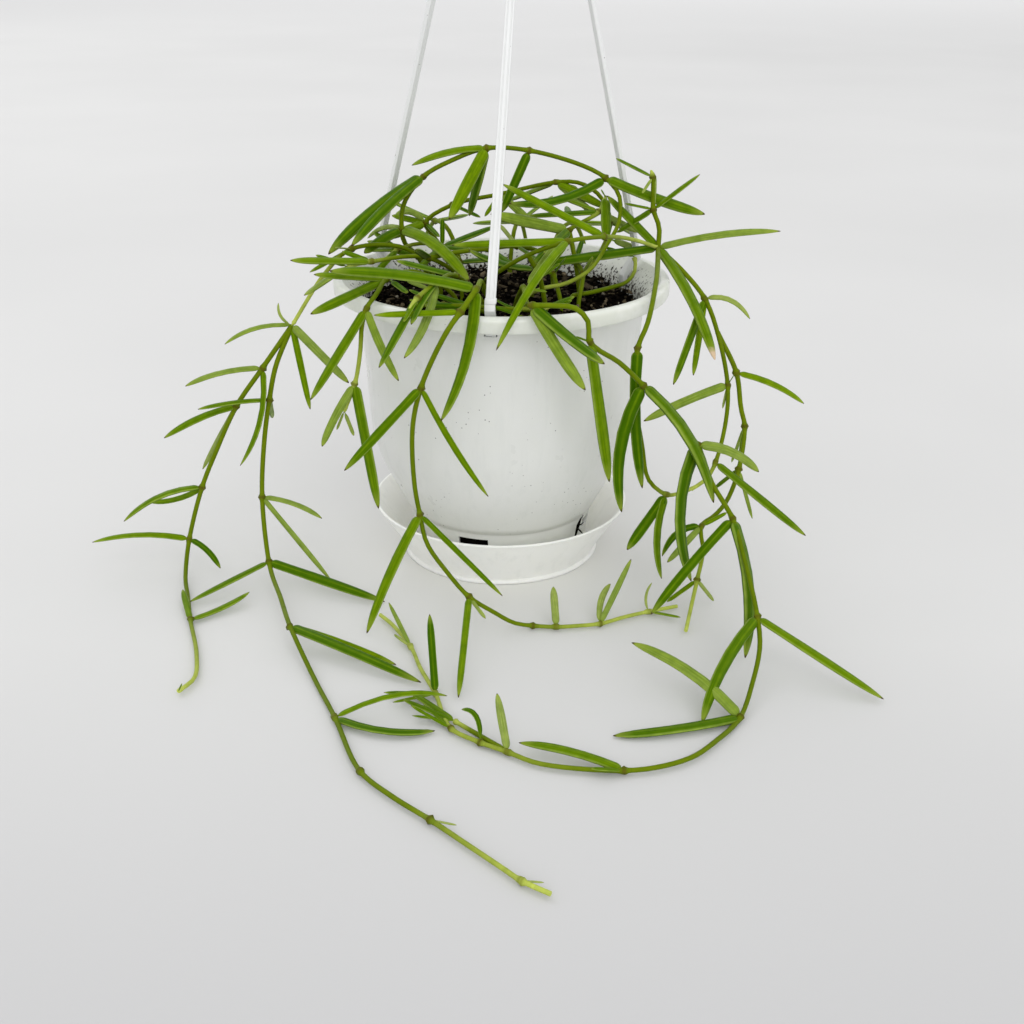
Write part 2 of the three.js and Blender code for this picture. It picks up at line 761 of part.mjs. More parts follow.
// A slim succulent blade: it starts as a point inside its stem, swells to a flat diamond section,
// holds that width and runs to a point
function makeLeaf(base, leaf, seed, widthShare) {
  const start = new THREE.Vector3(...base);
  const reach = new THREE.Vector3(...leaf.slice(0, 3));
  const push = new THREE.Vector3(...(leaf.length > 3 ? leaf.slice(3, 6) : [0, 0, 0]));
  const length = reach.length();
  const spread = 1 + leafWidthSpread * (2 * seeded(seed + 0.5) - 1);
  const usual = Math.min(leafWidthMost, (leafWidthBase + leafWidthPerLength * length) * spread);
  const width = usual * widthShare * (ownWidthShares.get(seed) ?? 1);
  const nearFloor = base[2] < 5 && base[2] + leaf[2] < 6;
  const lean = nearFloor ? 0 : degrees(leafTurnMost * (2 * seeded(seed) - 1));
  const light = nearFloor ? new THREE.Vector3(0, 0, 1) : lightFrom(base);
  const lowest = floorClearance + 1.2;
  const middleAt = (t) => {
    const point = start.clone().addScaledVector(reach, t).addScaledVector(push, 4 * t * (1 - t));
    point.z = Math.max(point.z, t > 0.95 ? floorClearance + 0.3 : lowest);
    return point;
  };
  const further = length > longLeaf ? longStations : shortStations;
  const stations = [[Math.min(0.3, leafStalk / length), 0.84], ...further];
  const corners = [start.clone().addScaledVector(reach, -leafOverlap / length).toArray()];
  for (const [t, share] of stations) {
    const middle = middleAt(t);
    const along = middleAt(t + 0.03).sub(middleAt(t - 0.03)).normalize();
    const top = light.clone().addScaledVector(along, -light.dot(along)).normalize();
    const side = new THREE.Vector3().crossVectors(top, along);
    side.applyAxisAngle(along, lean);
    top.applyAxisAngle(along, lean);
    const half = (width * share) / 2;
    const deep = Math.max(0.4, half * leafThickness);
    for (const [across, up] of [[1, 0], [0, 1], [-1, 0], [0, -1]]) {
      const corner = middle.clone().addScaledVector(side, across * half).addScaledVector(top, up * deep);
      corner.z = Math.max(corner.z, floorClearance);
      corners.push(corner.toArray());
    }
  }
  corners.push(middleAt(1).toArray());
  const tip = corners.length - 1;
  const faces = [];
  for (let i = 0; i < 4; i += 1) {
    const next = (i + 1) % 4;
    faces.push([0, 1 + next, 1 + i]);
    for (let ring = 0; ring < stations.length - 1; ring += 1) {
      const a = 1 + ring * 4 + i;
      const b = 1 + ring * 4 + next;
      faces.push([a, b, b + 4], [a, b + 4, a + 4]);
    }
    const last = 1 + (stations.length - 1) * 4;
    faces.push([last + i, last + next, tip]);
  }
  return facesToGeometry(corners, faces);
}

function makeVine(strands, seed) {
  const pieces = [];
  let count = seed * 100;
  for (const strand of strands) {
    pieces.push(toSolid(makeStem(strand)));
    for (const { at, leaves } of strand) {
      for (const leaf of leaves) {
        count += 1;
        pieces.push(toSolid(makeLeaf(at, leaf, count, stemWidthShares[seed - 1])));
      }
    }
  }
  return joinAll(pieces);
}

const vines = {
  vine_left: leftVine,
  vine_short: shortVine,
  vine_high_left: highLeftVine,
  vine_middle: middleVine,
  vine_front: frontVine,
  vine_right: rightVine,
  vine_arch: archVine,
  vine_back_arch: backArchVine,
  vine_inner_right: innerRightVine,
  vine_inner_left: innerLeftVine,
  vine_curled: curledVine,
  vine_back_left: backLeftVine,
  vine_back_middle: backMiddleVine,
  vine_back_right: backRightVine,
};

// The soil: a plug with an uneven top, and a plain hole for each stem that stands in it

function makeSoil() {
  const inset = wallThickness + soilClearance;
  const bottom = baseTop + soilClearance;
  const rings = [48, 32, 16];
  const geometry = turned([
    [0, bottom],
    [footRadius - 1.1, bottom],
    [footTopRadius - inset, footTopHeight],
    ...lowerWall(inset, 3).reverse(),
    [wallTopRadius - inset - 0.1, soilTop - 1.2],
    ...rings.map((radius) => [radius, soilTop]),
    [0, soilTop + 0.4],
  ]);
  const points = geometry.attributes.position;
  for (let i = 0; i < points.count; i += 1) {
    const radius = Math.hypot(points.getX(i), points.getY(i));
    if (points.getZ(i) > soilTop - 0.5 && radius > 1) {
      const turn = Math.round((Math.atan2(points.getY(i), points.getX(i)) / Math.PI) * 180 + 720) % 360;
      const bump = seeded(turn * 7 + Math.round(radius)) * 2 - 1;
      points.setZ(i, soilTop + soilBump * bump);
    }
  }
  let soil = toSolid(geometry);
  for (const strands of Object.values(vines)) {
    for (const strand of strands) {
      for (const { at } of strand) {
        if (at[2] === stemRootBottom) {
          const hole = upright(stemHoleRadius, stemHoleBottom, soilTop + 5, at[0], at[1], 6);
          soil = soil.subtract(toSolid(hole));
        }
      }
    }
  }
  return soil;
}

// The whole

const materials = {
  white: new THREE.MeshStandardMaterial({ color: 0xe9ebea, roughness: 0.35, metalness: 0 }),
  cream: new THREE.MeshStandardMaterial({ color: 0xe6e5de, roughness: 0.45, metalness: 0 }),
  hanger: new THREE.MeshStandardMaterial({ color: 0xe4e6e5, roughness: 0.4, metalness: 0 }),
  soil: new THREE.MeshStandardMaterial({ color: 0x2b2019, roughness: 0.95, metalness: 0 }),
  leaf: new THREE.MeshStandardMaterial({ color: 0x5f9a1c, roughness: 0.5, metalness: 0 }),
};

function addMesh(group, name, solid, material) {
  const mesh = new THREE.Mesh(toGeometry(solid), material.clone());
  mesh.name = name;
  group.add(mesh);
}

const plant = new THREE.Group();
plant.name = "potted_hoya_linearis";
addMesh(plant, "saucer", makeSaucer(), materials.cream);
addMesh(plant, "pot", makePot(), materials.white);
addMesh(plant, "hanger", makeHanger(), materials.hanger);
addMesh(plant, "soil", makeSoil(), materials.soil);
Object.entries(vines).forEach(([name, strands], index) => {
  addMesh(plant, name, makeVine(strands, index + 1), materials.leaf);
});

export default plant;
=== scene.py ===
import math
import random
import bpy
from mathutils import Euler, Matrix, Vector, noise
from mathutils.kdtree import KDTree


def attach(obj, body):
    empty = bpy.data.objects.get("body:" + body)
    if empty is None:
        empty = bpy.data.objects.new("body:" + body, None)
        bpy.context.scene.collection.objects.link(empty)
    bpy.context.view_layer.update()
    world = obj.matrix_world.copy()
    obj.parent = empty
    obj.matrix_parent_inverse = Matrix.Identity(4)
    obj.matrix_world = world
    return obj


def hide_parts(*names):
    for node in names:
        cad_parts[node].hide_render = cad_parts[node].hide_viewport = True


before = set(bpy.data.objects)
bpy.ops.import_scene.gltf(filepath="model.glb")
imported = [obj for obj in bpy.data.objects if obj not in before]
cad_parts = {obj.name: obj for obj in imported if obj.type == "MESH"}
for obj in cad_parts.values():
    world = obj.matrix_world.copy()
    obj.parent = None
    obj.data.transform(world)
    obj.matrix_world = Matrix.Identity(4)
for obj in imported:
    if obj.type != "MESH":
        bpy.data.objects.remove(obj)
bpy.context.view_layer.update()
mm = 0.001
print("frame loaded with", len(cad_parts), "CAD nodes")


# Camera, where the photograph was taken from

cameraSizes = {"place": (0, -0.567, 0.271), "down": 0.4232, "turn": -0.0098, "roll": 0.0088,
               "lens": 45, "sensor": 36, "near": 0.01}


def makeCamera():
    looks = (Matrix.Rotation(cameraSizes["turn"], 3, "Z")
             @ Matrix.Rotation(math.pi / 2 - cameraSizes["down"], 3, "X")
             @ Matrix.Rotation(cameraSizes["roll"], 3, "Z"))
    bpy.ops.object.camera_add(location=cameraSizes["place"], rotation=looks.to_euler())
    camera = bpy.context.active_object
    camera.data.lens = cameraSizes["lens"]
    camera.data.sensor_width = cameraSizes["sensor"]
    camera.data.clip_start = cameraSizes["near"]
    bpy.context.scene.camera = camera


makeCamera()


# Light: an even pale room, a big soft window from behind on the left and soft light from the front

lightSizes = {"room": (0.985, 0.985, 1.0), "roomStrength": 0.915, "softWatts": 27, "softSize": 3.0,
              "softPlace": (-2.0, 2.6, 2.8), "fillWatts": 480, "fillSize": 9.2,
              "fillPlace": (1.55, -8.9, 5.1), "aim": (0, 0, 0.1)}


def addSoftLight(name, watts, place, size):
    towards = Vector(lightSizes["aim"]) - Vector(place)
    turn = towards.to_track_quat("-Z", "Y").to_euler()
    bpy.ops.object.light_add(type="AREA", location=place, rotation=turn)
    light = bpy.context.active_object
    light.name = name
    light.data.energy = watts
    light.data.size = size


def makeLight():
    world = bpy.data.worlds.new("paleRoom")
    bpy.context.scene.world = world
    world.use_nodes = True
    room = world.node_tree.nodes["Background"]
    room.inputs["Color"].default_value = (*lightSizes["room"], 1)
    room.inputs["Strength"].default_value = lightSizes["roomStrength"]
    addSoftLight("softWindow", lightSizes["softWatts"], lightSizes["softPlace"], lightSizes["softSize"])
    addSoftLight("softFill", lightSizes["fillWatts"], lightSizes["fillPlace"], lightSizes["fillSize"])
    bpy.context.scene.view_settings.view_transform = "Standard"


makeLight()
print("camera and light done")


# Small helpers for materials

def addNode(tree, kind, inputs=None, **settings):
    node = tree.nodes.new(kind)
    for key, value in settings.items():
        setattr(node, key, value)
    for key, value in (inputs or {}).items():
        if isinstance(value, bpy.types.NodeSocket):
            tree.links.new(value, node.inputs[key])
        else:
            node.inputs[key].default_value = value
    return node


def mixColours(tree, share, first, second):
    return addNode(tree, "ShaderNodeMix", {0: share, 6: first, 7: second}, data_type="RGBA").outputs[2]


def spread(tree, value, low, high, toLow=0.0, toHigh=1.0):
    return addNode(tree, "ShaderNodeMapRange", {0: value, 1: low, 2: high, 3: toLow, 4: toHigh}).outputs[0]


def times(tree, first, second):
    return addNode(tree, "ShaderNodeMath", {0: first, 1: second}, operation="MULTIPLY").outputs[0]


def plus(tree, first, second):
    return addNode(tree, "ShaderNodeMath", {0: first, 1: second}, operation="ADD").outputs[0]


def cloudy(tree, place, scale, detail=3.0, roughness=0.5):
    values = {"Vector": place, "Scale": scale, "Detail": detail, "Roughness": roughness}
    return addNode(tree, "ShaderNodeTexNoise", values).outputs[0]


def valueOf(tree, name):
    return addNode(tree, "ShaderNodeAttribute", attribute_name=name).outputs["Fac"]


def startGroup(name, inputs):
    tree = bpy.data.node_groups.new(name, "ShaderNodeTree")
    for socket, kind in inputs.items():
        tree.interface.new_socket(socket, in_out="INPUT", socket_type="NodeSocket" + kind)
    for socket, kind in (("Colour", "Color"), ("Roughness", "Float"), ("Height", "Float")):
        tree.interface.new_socket(socket, in_out="OUTPUT", socket_type="NodeSocket" + kind)
    return tree, addNode(tree, "NodeGroupInput").outputs, addNode(tree, "NodeGroupOutput")


def finishGroup(tree, end, *values):
    for socket, value in zip(("Colour", "Roughness", "Height"), values):
        tree.links.new(value, end.inputs[socket])
    return tree


def startMaterial(name, **plain):
    material = bpy.data.materials.new(name)
    material.use_nodes = True
    tree = material.node_tree
    shader = tree.nodes["Principled BSDF"]
    for socket, value in plain.items():
        shader.inputs[socket].default_value = value
    place = addNode(tree, "ShaderNodeTexCoord").outputs["Object"]
    return material, tree, shader, place


def giveLooks(tree, shader, colour, roughness, height, strength, depth):
    tree.links.new(colour, shader.inputs["Base Color"])
    tree.links.new(roughness, shader.inputs["Roughness"])
    values = {"Height": height, "Strength": strength, "Distance": depth}
    tree.links.new(addNode(tree, "ShaderNodeBump", values).outputs[0], shader.inputs["Normal"])


# Shared effects: handled plastic, growing skin and crumbled earth

def makePlasticGroup():
    tree, given, end = startGroup(
        "handledPlastic",
        {"Place": "Vector", "Plastic": "Color", "Film": "Color", "Film Share": "Float",
         "Speck Share": "Float", "Gloss": "Float"})
    place = given["Place"]
    film = spread(tree, cloudy(tree, place, 22, 4, 0.55), 0.42, 0.74)
    hazy = times(tree, film, given["Film Share"])
    colour = mixColours(tree, hazy, given["Plastic"], given["Film"])
    # Rubbed marks run round and down the wall in long faint strokes
    drawnOut = addNode(tree, "ShaderNodeMapping", {"Vector": place, "Scale": (1, 1, 0.12)}).outputs[0]
    strokes = cloudy(tree, drawnOut, 190, 4, 0.65)
    rubbed = spread(tree, strokes, 0.52, 0.7)
    colour = mixColours(tree, times(tree, rubbed, 0.16), colour, (0.55, 0.58, 0.54, 1))
    # Specks of potting mix, in patches
    grain = addNode(tree, "ShaderNodeTexVoronoi", {"Vector": place, "Scale": 380}).outputs["Distance"]
    patches = spread(tree, cloudy(tree, place, 48, 2), 0.54, 0.6)
    speck = times(tree, spread(tree, grain, 0.12, 0.09), patches)
    speck = times(tree, speck, given["Speck Share"])
    colour = mixColours(tree, speck, colour, (0.035, 0.026, 0.018, 1))
    dull = times(tree, cloudy(tree, place, 60, 4, 0.6), 0.16)
    roughness = plus(tree, given["Gloss"], dull)
    roughness = plus(tree, roughness, times(tree, rubbed, 0.16))
    height = plus(tree, cloudy(tree, place, 75, 3), times(tree, speck, 3.0))
    return finishGroup(tree, end, colour, roughness, height)


def makeSkinGroup():
    tree, given, end = startGroup(
        "growingSkin",
        {"Place": "Vector", "Skin": "Color", "Shadow": "Color", "Along": "Float", "Round": "Float"})
    mottled = spread(tree, cloudy(tree, given["Place"], 260, 4, 0.55), 0.4, 0.7)
    colour = mixColours(tree, times(tree, mottled, 0.4), given["Skin"], given["Shadow"])
    # Fine lines that run along the leaf or stem
    along = times(tree, given["Along"], 3.0)
    across = times(tree, given["Round"], 34.0)
    lines = addNode(tree, "ShaderNodeCombineXYZ", {0: along, 1: across}).outputs[0]
    grain = cloudy(tree, lines, 1.0, 3, 0.55)
    colour = mixColours(tree, spread(tree, grain, 0.42, 0.62, 0.0, 0.5), colour, given["Shadow"])
    pores = cloudy(tree, given["Place"], 2600, 2)
    roughness = spread(tree, mottled, 0, 1, 0.4, 0.56)
    height = plus(tree, times(tree, grain, 0.7), times(tree, pores, 0.3))
    return finishGroup(tree, end, colour, roughness, height)


def makeEarthGroup():
    tree, given, end = startGroup(
        "crumbledEarth", {"Place": "Vector", "Earth": "Color", "Fibre": "Color", "Scale": "Float"})
    coarse = cloudy(tree, given["Place"], given["Scale"], 6, 0.7)
    fine = cloudy(tree, given["Place"], times(tree, given["Scale"], 4.3), 4, 0.65)
    colour = mixColours(tree, spread(tree, coarse, 0.45, 0.75), given["Earth"], given["Fibre"])
    colour = mixColours(tree, spread(tree, fine, 0.5, 0.7, 0, 0.6), colour, (0.008, 0.006, 0.005, 1))
    roughness = spread(tree, fine, 0.3, 0.7, 0.72, 0.98)
    height = plus(tree, coarse, times(tree, fine, 0.5))
    return finishGroup(tree, end, colour, roughness, height)


plasticGroup = makePlasticGroup()
skinGroup = makeSkinGroup()
earthGroup = makeEarthGroup()


def useGroup(tree, group, values):
    return addNode(tree, "ShaderNodeGroup", values, node_tree=group).outputs


# Materials

plasticLooks = {
    "pot": {"plastic": (0.79, 0.8, 0.76, 1), "film": (0.71, 0.725, 0.675, 1), "filmShare": 0.35,
            "specks": 0.75, "gloss": 0.22, "glow": 0.4},
    "saucer": {"plastic": (0.96, 0.96, 0.87, 1), "film": (0.92, 0.92, 0.81, 1), "filmShare": 0.3,
               "specks": 0.1, "gloss": 0.34, "glow": 0.8},
    "hanger": {"plastic": (0.75, 0.76, 0.75, 1), "film": (0.63, 0.64, 0.62, 1), "filmShare": 0.3,
               "specks": 0.5, "gloss": 0.28, "glow": 0.0},
}


def makePlastic(name, soiled=False):
    looks = plasticLooks[name]
    title = "soiledPlastic" if soiled else name + "Plastic"
    material, tree, shader, place = startMaterial(title, **{
        "IOR": 1.48, "Coat Weight": 0.12, "Coat Roughness": 0.12, "Subsurface Weight": looks["glow"],
        "Subsurface Radius": (1, 1, 0.9), "Subsurface Scale": 0.006})
    worn = useGroup(tree, plasticGroup, {"Place": place, "Plastic": looks["plastic"], "Film": looks["film"],
                                         "Film Share": looks["filmShare"], "Speck Share": looks["specks"],
                                         "Gloss": looks["gloss"]})
    colour, roughness = worn["Colour"], worn["Roughness"]
    if name == "pot":
        # Painted shade: the lip is made greyer-green in patches, standing in for the leaves' shade on it
        height = addNode(tree, "ShaderNodeSeparateXYZ", {0: place}).outputs[2]
        paintedLipShade = times(tree, spread(tree, height, 0.122, 0.1265),
                        spread(tree, cloudy(tree, place, 90, 3, 0.6), 0.35, 0.6, 0.35, 1.0))
        colour = mixColours(tree, paintedLipShade, colour, (0.66, 0.68, 0.61, 1))
    if soiled:
        # Potting mix sticks to the inside of the wall, just above the soil, and the wall is made greyer
        # towards the soil
        above = spread(tree, height, 0.132, 0.1215)
        haze = times(tree, spread(tree, height, 0.132, 0.125), 0.5)
        colour = mixColours(tree, haze, colour, (0.42, 0.43, 0.41, 1))
        clumps = plus(tree, cloudy(tree, place, 620, 4, 0.6), times(tree, above, 0.16))
        clumps = spread(tree, clumps, 0.63, 0.69)
        dirt = times(tree, clumps, spread(tree, above, 0.0, 0.15))
        colour = mixColours(tree, dirt, colour, (0.028, 0.022, 0.018, 1))
        roughness = plus(tree, roughness, times(tree, dirt, 0.5))
    giveLooks(tree, shader, colour, roughness, worn["Height"], 0.12, 0.0004)
    return material


def makeEarth(name, earth, fibre, fleck, scale, sheen):
    material, tree, shader, place = startMaterial(name, **{"Specular IOR Level": sheen})
    crumbs = useGroup(tree, earthGroup, {"Place": place, "Earth": earth, "Fibre": fibre, "Scale": scale})
    tone = spread(tree, valueOf(tree, "crumbTone"), 0.0, 1.0)
    colour = mixColours(tree, tone, crumbs["Colour"], fleck)
    giveLooks(tree, shader, colour, crumbs["Roughness"], crumbs["Height"], 0.8, 0.0008)
    return material


def makeLeafSkin():
    material, tree, shader, place = startMaterial("leafSkin", **{
        "IOR": 1.4, "Specular IOR Level": 0.24, "Specular Tint": (0.75, 1.0, 0.1, 1)})
    along, under, tone = valueOf(tree, "leafAlong"), valueOf(tree, "leafUnder"), valueOf(tree, "leafTone")
    young, dry = valueOf(tree, "leafYoung"), valueOf(tree, "leafDry")
    green = mixColours(tree, spread(tree, tone, 0.0, 0.7), (0.035, 0.105, 0.0, 1), (0.18, 0.285, 0.0, 1))
    # Painted highlight: the sides of the leaf are made paler, standing in for light caught by fine hairs
    # along its edges
    paintedEdgeHighlight = times(tree, spread(tree, under, 0.2, 0.4), spread(tree, under, 0.66, 0.52))
    layers = (
        (spread(tree, tone, 0.78, 1.0), (0.255, 0.33, 0.075, 1)),
        (young, (0.39, 0.45, 0.13, 1)),
        # The foot of the leaf is paler, a painted highlight makes the rolled edges paler, and the underside
        # has a pale strip
        (spread(tree, along, 0.14, 0.0, 0, 0.6), (0.26, 0.36, 0.02, 1)),
        (times(tree, paintedEdgeHighlight, 0.7), (0.36, 0.47, 0.08, 1)),
        (spread(tree, under, 0.03, 0.0, 0, 0.4), (0.2, 0.3, 0.005, 1)),
        (spread(tree, under, 0.8, 0.93, 0, 0.8), (0.32, 0.42, 0.1, 1)),
    )
    for share, layer in layers:
        green = mixColours(tree, share, green, layer)
    shadow = mixColours(tree, 0.8, green, (0.018, 0.07, 0.0, 1))
    skin = useGroup(tree, skinGroup, {"Place": place, "Skin": green, "Shadow": shadow,
                                      "Along": along, "Round": under})
    colour = mixColours(tree, spread(tree, along, 0.86, 0.97, 0, 0.5), skin["Colour"], (0.3, 0.36, 0.05, 1))
    colour = mixColours(tree, spread(tree, along, 0.972, 0.99), colour, (0.05, 0.025, 0.012, 1))
    ragged = plus(tree, along, times(tree, cloudy(tree, place, 500, 3), 0.05))
    dryPart = times(tree, dry, spread(tree, ragged, 0.94, 0.98))
    colour = mixColours(tree, dryPart, colour, (0.6, 0.45, 0.3, 1))
    giveLooks(tree, shader, colour, skin["Roughness"], skin["Height"], 0.35, 0.0004)
    return material


def makeStemSkin():
    material, tree, shader, place = startMaterial("stemSkin", **{
        "IOR": 1.4, "Specular IOR Level": 0.18, "Specular Tint": (0.8, 1.0, 0.2, 1)})
    age, knob = valueOf(tree, "stemYouth"), valueOf(tree, "stemKnob")
    green = mixColours(tree, spread(tree, age, 0.72, 1.0), (0.138, 0.195, 0.003, 1), (0.56, 0.64, 0.12, 1))
    brown = mixColours(tree, cloudy(tree, place, 900, 3, 0.6), (0.045, 0.04, 0.004, 1),
                       (0.17, 0.145, 0.015, 1))
    # Joints near the young end stay green
    woody = times(tree, spread(tree, knob, 0.35, 0.8, 0, 0.9), spread(tree, age, 0.85, 1.0, 1, 0.3))
    green = mixColours(tree, woody, green, brown)
    shadow = mixColours(tree, 0.65, green, (0.035, 0.075, 0.0, 1))
    skin = useGroup(tree, skinGroup, {"Place": place, "Skin": green, "Shadow": shadow, "Along": age,
                                      "Round": knob})
    giveLooks(tree, shader, skin["Colour"], skin["Roughness"], skin["Height"], 0.4, 0.0005)
    return material


def makeFloorFinish():
    material, tree, shader, place = startMaterial("paleSurface", **{"Specular IOR Level": 0.25})
    tone = cloudy(tree, place, 2.2, 3, 0.5)
    colour = mixColours(tree, spread(tree, tone, 0.35, 0.65), (0.645, 0.645, 0.635, 1),
                        (0.675, 0.675, 0.665, 1))
    # Painted shade makes the surface a little greyer towards the front, and painted light makes it paler far
    # behind
    away = addNode(tree, "ShaderNodeSeparateXYZ", {0: place}).outputs[1]
    colour = mixColours(tree, spread(tree, away, -0.1, -0.34), colour, (0.54, 0.54, 0.54, 1))
    colour = mixColours(tree, spread(tree, away, 2.9, 5.8), colour, (0.81, 0.81, 0.8, 1))
    roughness = spread(tree, tone, 0.3, 0.7, 0.55, 0.7)
    giveLooks(tree, shader, colour, roughness, cloudy(tree, place, 300, 3), 0.05, 0.0005)
    return material


potPlastic = makePlastic("pot")
soiledPlastic = makePlastic("pot", soiled=True)
saucerPlastic = makePlastic("saucer")
hangerPlastic = makePlastic("hanger")
earthFinish = makeEarth("darkEarth", earth=(0.0015, 0.0013, 0.001, 1), fibre=(0.008, 0.006, 0.004, 1),
                        fleck=(0.02, 0.015, 0.01, 1), scale=420, sheen=0.0)
barkFinish = makeEarth("barkChip", earth=(0.0015, 0.0013, 0.001, 1), fibre=(0.03, 0.021, 0.012, 1),
                       fleck=(0.24, 0.19, 0.115, 1), scale=900, sheen=0.02)
gritFinish = makeEarth("paleGrit", earth=(0.09, 0.08, 0.06, 1), fibre=(0.34, 0.31, 0.24, 1),
                       fleck=(0.34, 0.31, 0.24, 1), scale=1500, sheen=0.1)
leafSkin = makeLeafSkin()
stemSkin = makeStemSkin()
print("materials done")


# Helpers for modelling

def clearSelection():
    bpy.ops.object.select_all(action="DESELECT")


def pick(piece):
    clearSelection()
    piece.select_set(True)
    bpy.context.view_layer.objects.active = piece


def settle():
    bpy.ops.object.transform_apply(location=True, rotation=True, scale=True)


def giveFinish(piece, material):
    piece.data.materials.clear()
    piece.data.materials.append(material)


def finishPiece(piece, name, nodes=(), angle=None):
    piece.name = name
    piece.data.name = name
    pick(piece)
    settle()
    if angle is None:
        bpy.ops.object.shade_smooth()
    else:
        bpy.ops.object.shade_smooth_by_angle(angle=math.radians(angle))
    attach(piece, "root")
    if nodes:
        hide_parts(*nodes)


def joinPieces(pieces):
    clearSelection()
    for piece in pieces:
        piece.select_set(True)
    bpy.context.view_layer.objects.active = pieces[0]
    bpy.ops.object.join()
    return bpy.context.active_object


def applyModifier(piece, kind, **settings):
    pick(piece)
    modifier = piece.modifiers.new("shape", kind)
    for key, value in settings.items():
        setattr(modifier, key, value)
    bpy.ops.object.modifier_apply(modifier=modifier.name)


def cutAway(piece, cutter):
    applyModifier(piece, "BOOLEAN", operation="DIFFERENCE", solver="EXACT", object=cutter)
    bpy.data.objects.remove(cutter)


def startEdit(piece, mode):
    pick(piece)
    bpy.ops.object.mode_set(mode="EDIT")
    bpy.ops.mesh.select_mode(type=mode)
    bpy.ops.mesh.select_all(action="SELECT")


def closeEdit():
    bpy.ops.mesh.select_all(action="SELECT")
    bpy.ops.mesh.remove_doubles(threshold=1e-6)
    bpy.ops.mesh.normals_make_consistent(inside=False)
    bpy.ops.object.mode_set(mode="OBJECT")


def turnPiece(outline, sides):
    # A turned shape: a ring carried along the outline's (radius, height) points in mm, closed at both ends
    clearSelection()
    radius, height = outline[0]
    bpy.ops.mesh.primitive_circle_add(vertices=sides, radius=radius * mm, fill_type="NGON",
                                      location=(0, 0, height * mm))
    piece = bpy.context.active_object
    startEdit(piece, "EDGE")
    for nextRadius, nextHeight in outline[1:]:
        rise = (0, 0, (nextHeight - height) * mm)
        bpy.ops.mesh.extrude_edges_move(TRANSFORM_OT_translate={"value": rise})
        share = nextRadius / radius
        bpy.ops.transform.resize(value=(share, share, 1), center_override=(0, 0, 0))
        radius, height = nextRadius, nextHeight
    bpy.ops.mesh.edge_face_add()
    closeEdit()
    settle()
    return piece


def plateOf(outline):
    # A flat face with these corners in mm, made from a filled ring
    clearSelection()
    bpy.ops.mesh.primitive_circle_add(vertices=len(outline), radius=mm, fill_type="NGON")
    plate = bpy.context.active_object
    for corner, place in zip(plate.data.vertices, outline):
        corner.co = Vector(place) * mm
    return plate


def thicken(plate, way):
    startEdit(plate, "FACE")
    bpy.ops.mesh.extrude_region_move(TRANSFORM_OT_translate={"value": tuple(Vector(way) * mm)})
    closeEdit()


def cutterBox(size, place, turn):
    clearSelection()
    bpy.ops.mesh.primitive_cube_add(size=mm, location=Vector(place) * mm)
    box = bpy.context.active_object
    box.scale = size
    settle()
    box.rotation_euler = (0, 0, math.radians(turn))
    settle()
    return box


def tubeAlong(points, radii, sides):
    # A round tube through close points in mm, drawn as a curve and made a mesh
    clearSelection()
    bpy.ops.curve.primitive_nurbs_path_add(location=(0, 0, 0))
    tube = bpy.context.active_object
    tube.data.splines.clear()
    spline = tube.data.splines.new("POLY")
    spline.points.add(len(points) - 1)
    for knot, place, radius in zip(spline.points, points, radii):
        knot.co = (*(Vector(place) * mm), 1)
        knot.radius = radius
    tube.data.dimensions = "3D"
    tube.data.bevel_depth = mm
    tube.data.bevel_resolution = sides // 2 - 2
    tube.data.use_fill_caps = True
    pick(tube)
    bpy.ops.object.convert(target="MESH")
    return bpy.context.active_object


def setValues(piece, name, values):
    layer = piece.data.attributes.new(name, "FLOAT", "POINT")
    layer.data.foreach_set("value", values)


def addCopy(shape, mesh, values):
    # A new piece with this mesh, and for each name in values one number that holds all over it
    piece = bpy.data.objects.new(shape.name, mesh)
    bpy.context.collection.objects.link(piece)
    for name, value in values.items():
        setValues(piece, name, [value] * len(mesh.vertices))
    return piece


def seeded(seed):
    wave = math.sin(seed * 12.9898 + 4.1414) * 43758.5453
    return wave - math.floor(wave)


# The pot

potSizes = {"sides": 144, "slotTurns": (-107, -17, 73, 163), "slot": (12, 14, 4.2), "slotHeight": 18.6,
            "drainHoles": 6, "drainRing": 24, "drainRadius": 3, "drainHeight": 8, "drainDepth": 6,
            "drainSides": 32, "window": (8, 5.4, 0.9), "windowHeight": 122.8, "soiledReach": 71.5,
            "soiledFrom": 100}
armTurns = (-93.9, 23, 148)


def lowerWall(inset, steps):
    a, b, c, d = ((60.3 - inset, 64), (57.5 - inset, 47), (49.4 - inset, 35), (44.3 - inset, 24.2))
    rows = []
    for i in range(steps + 1):
        t = i / steps
        s = 1 - t
        rows.append(tuple(s ** 3 * a[k] + 3 * s * s * t * b[k] + 3 * s * t * t * c[k] + t ** 3 * d[k]
                          for k in (0, 1)))
    return rows


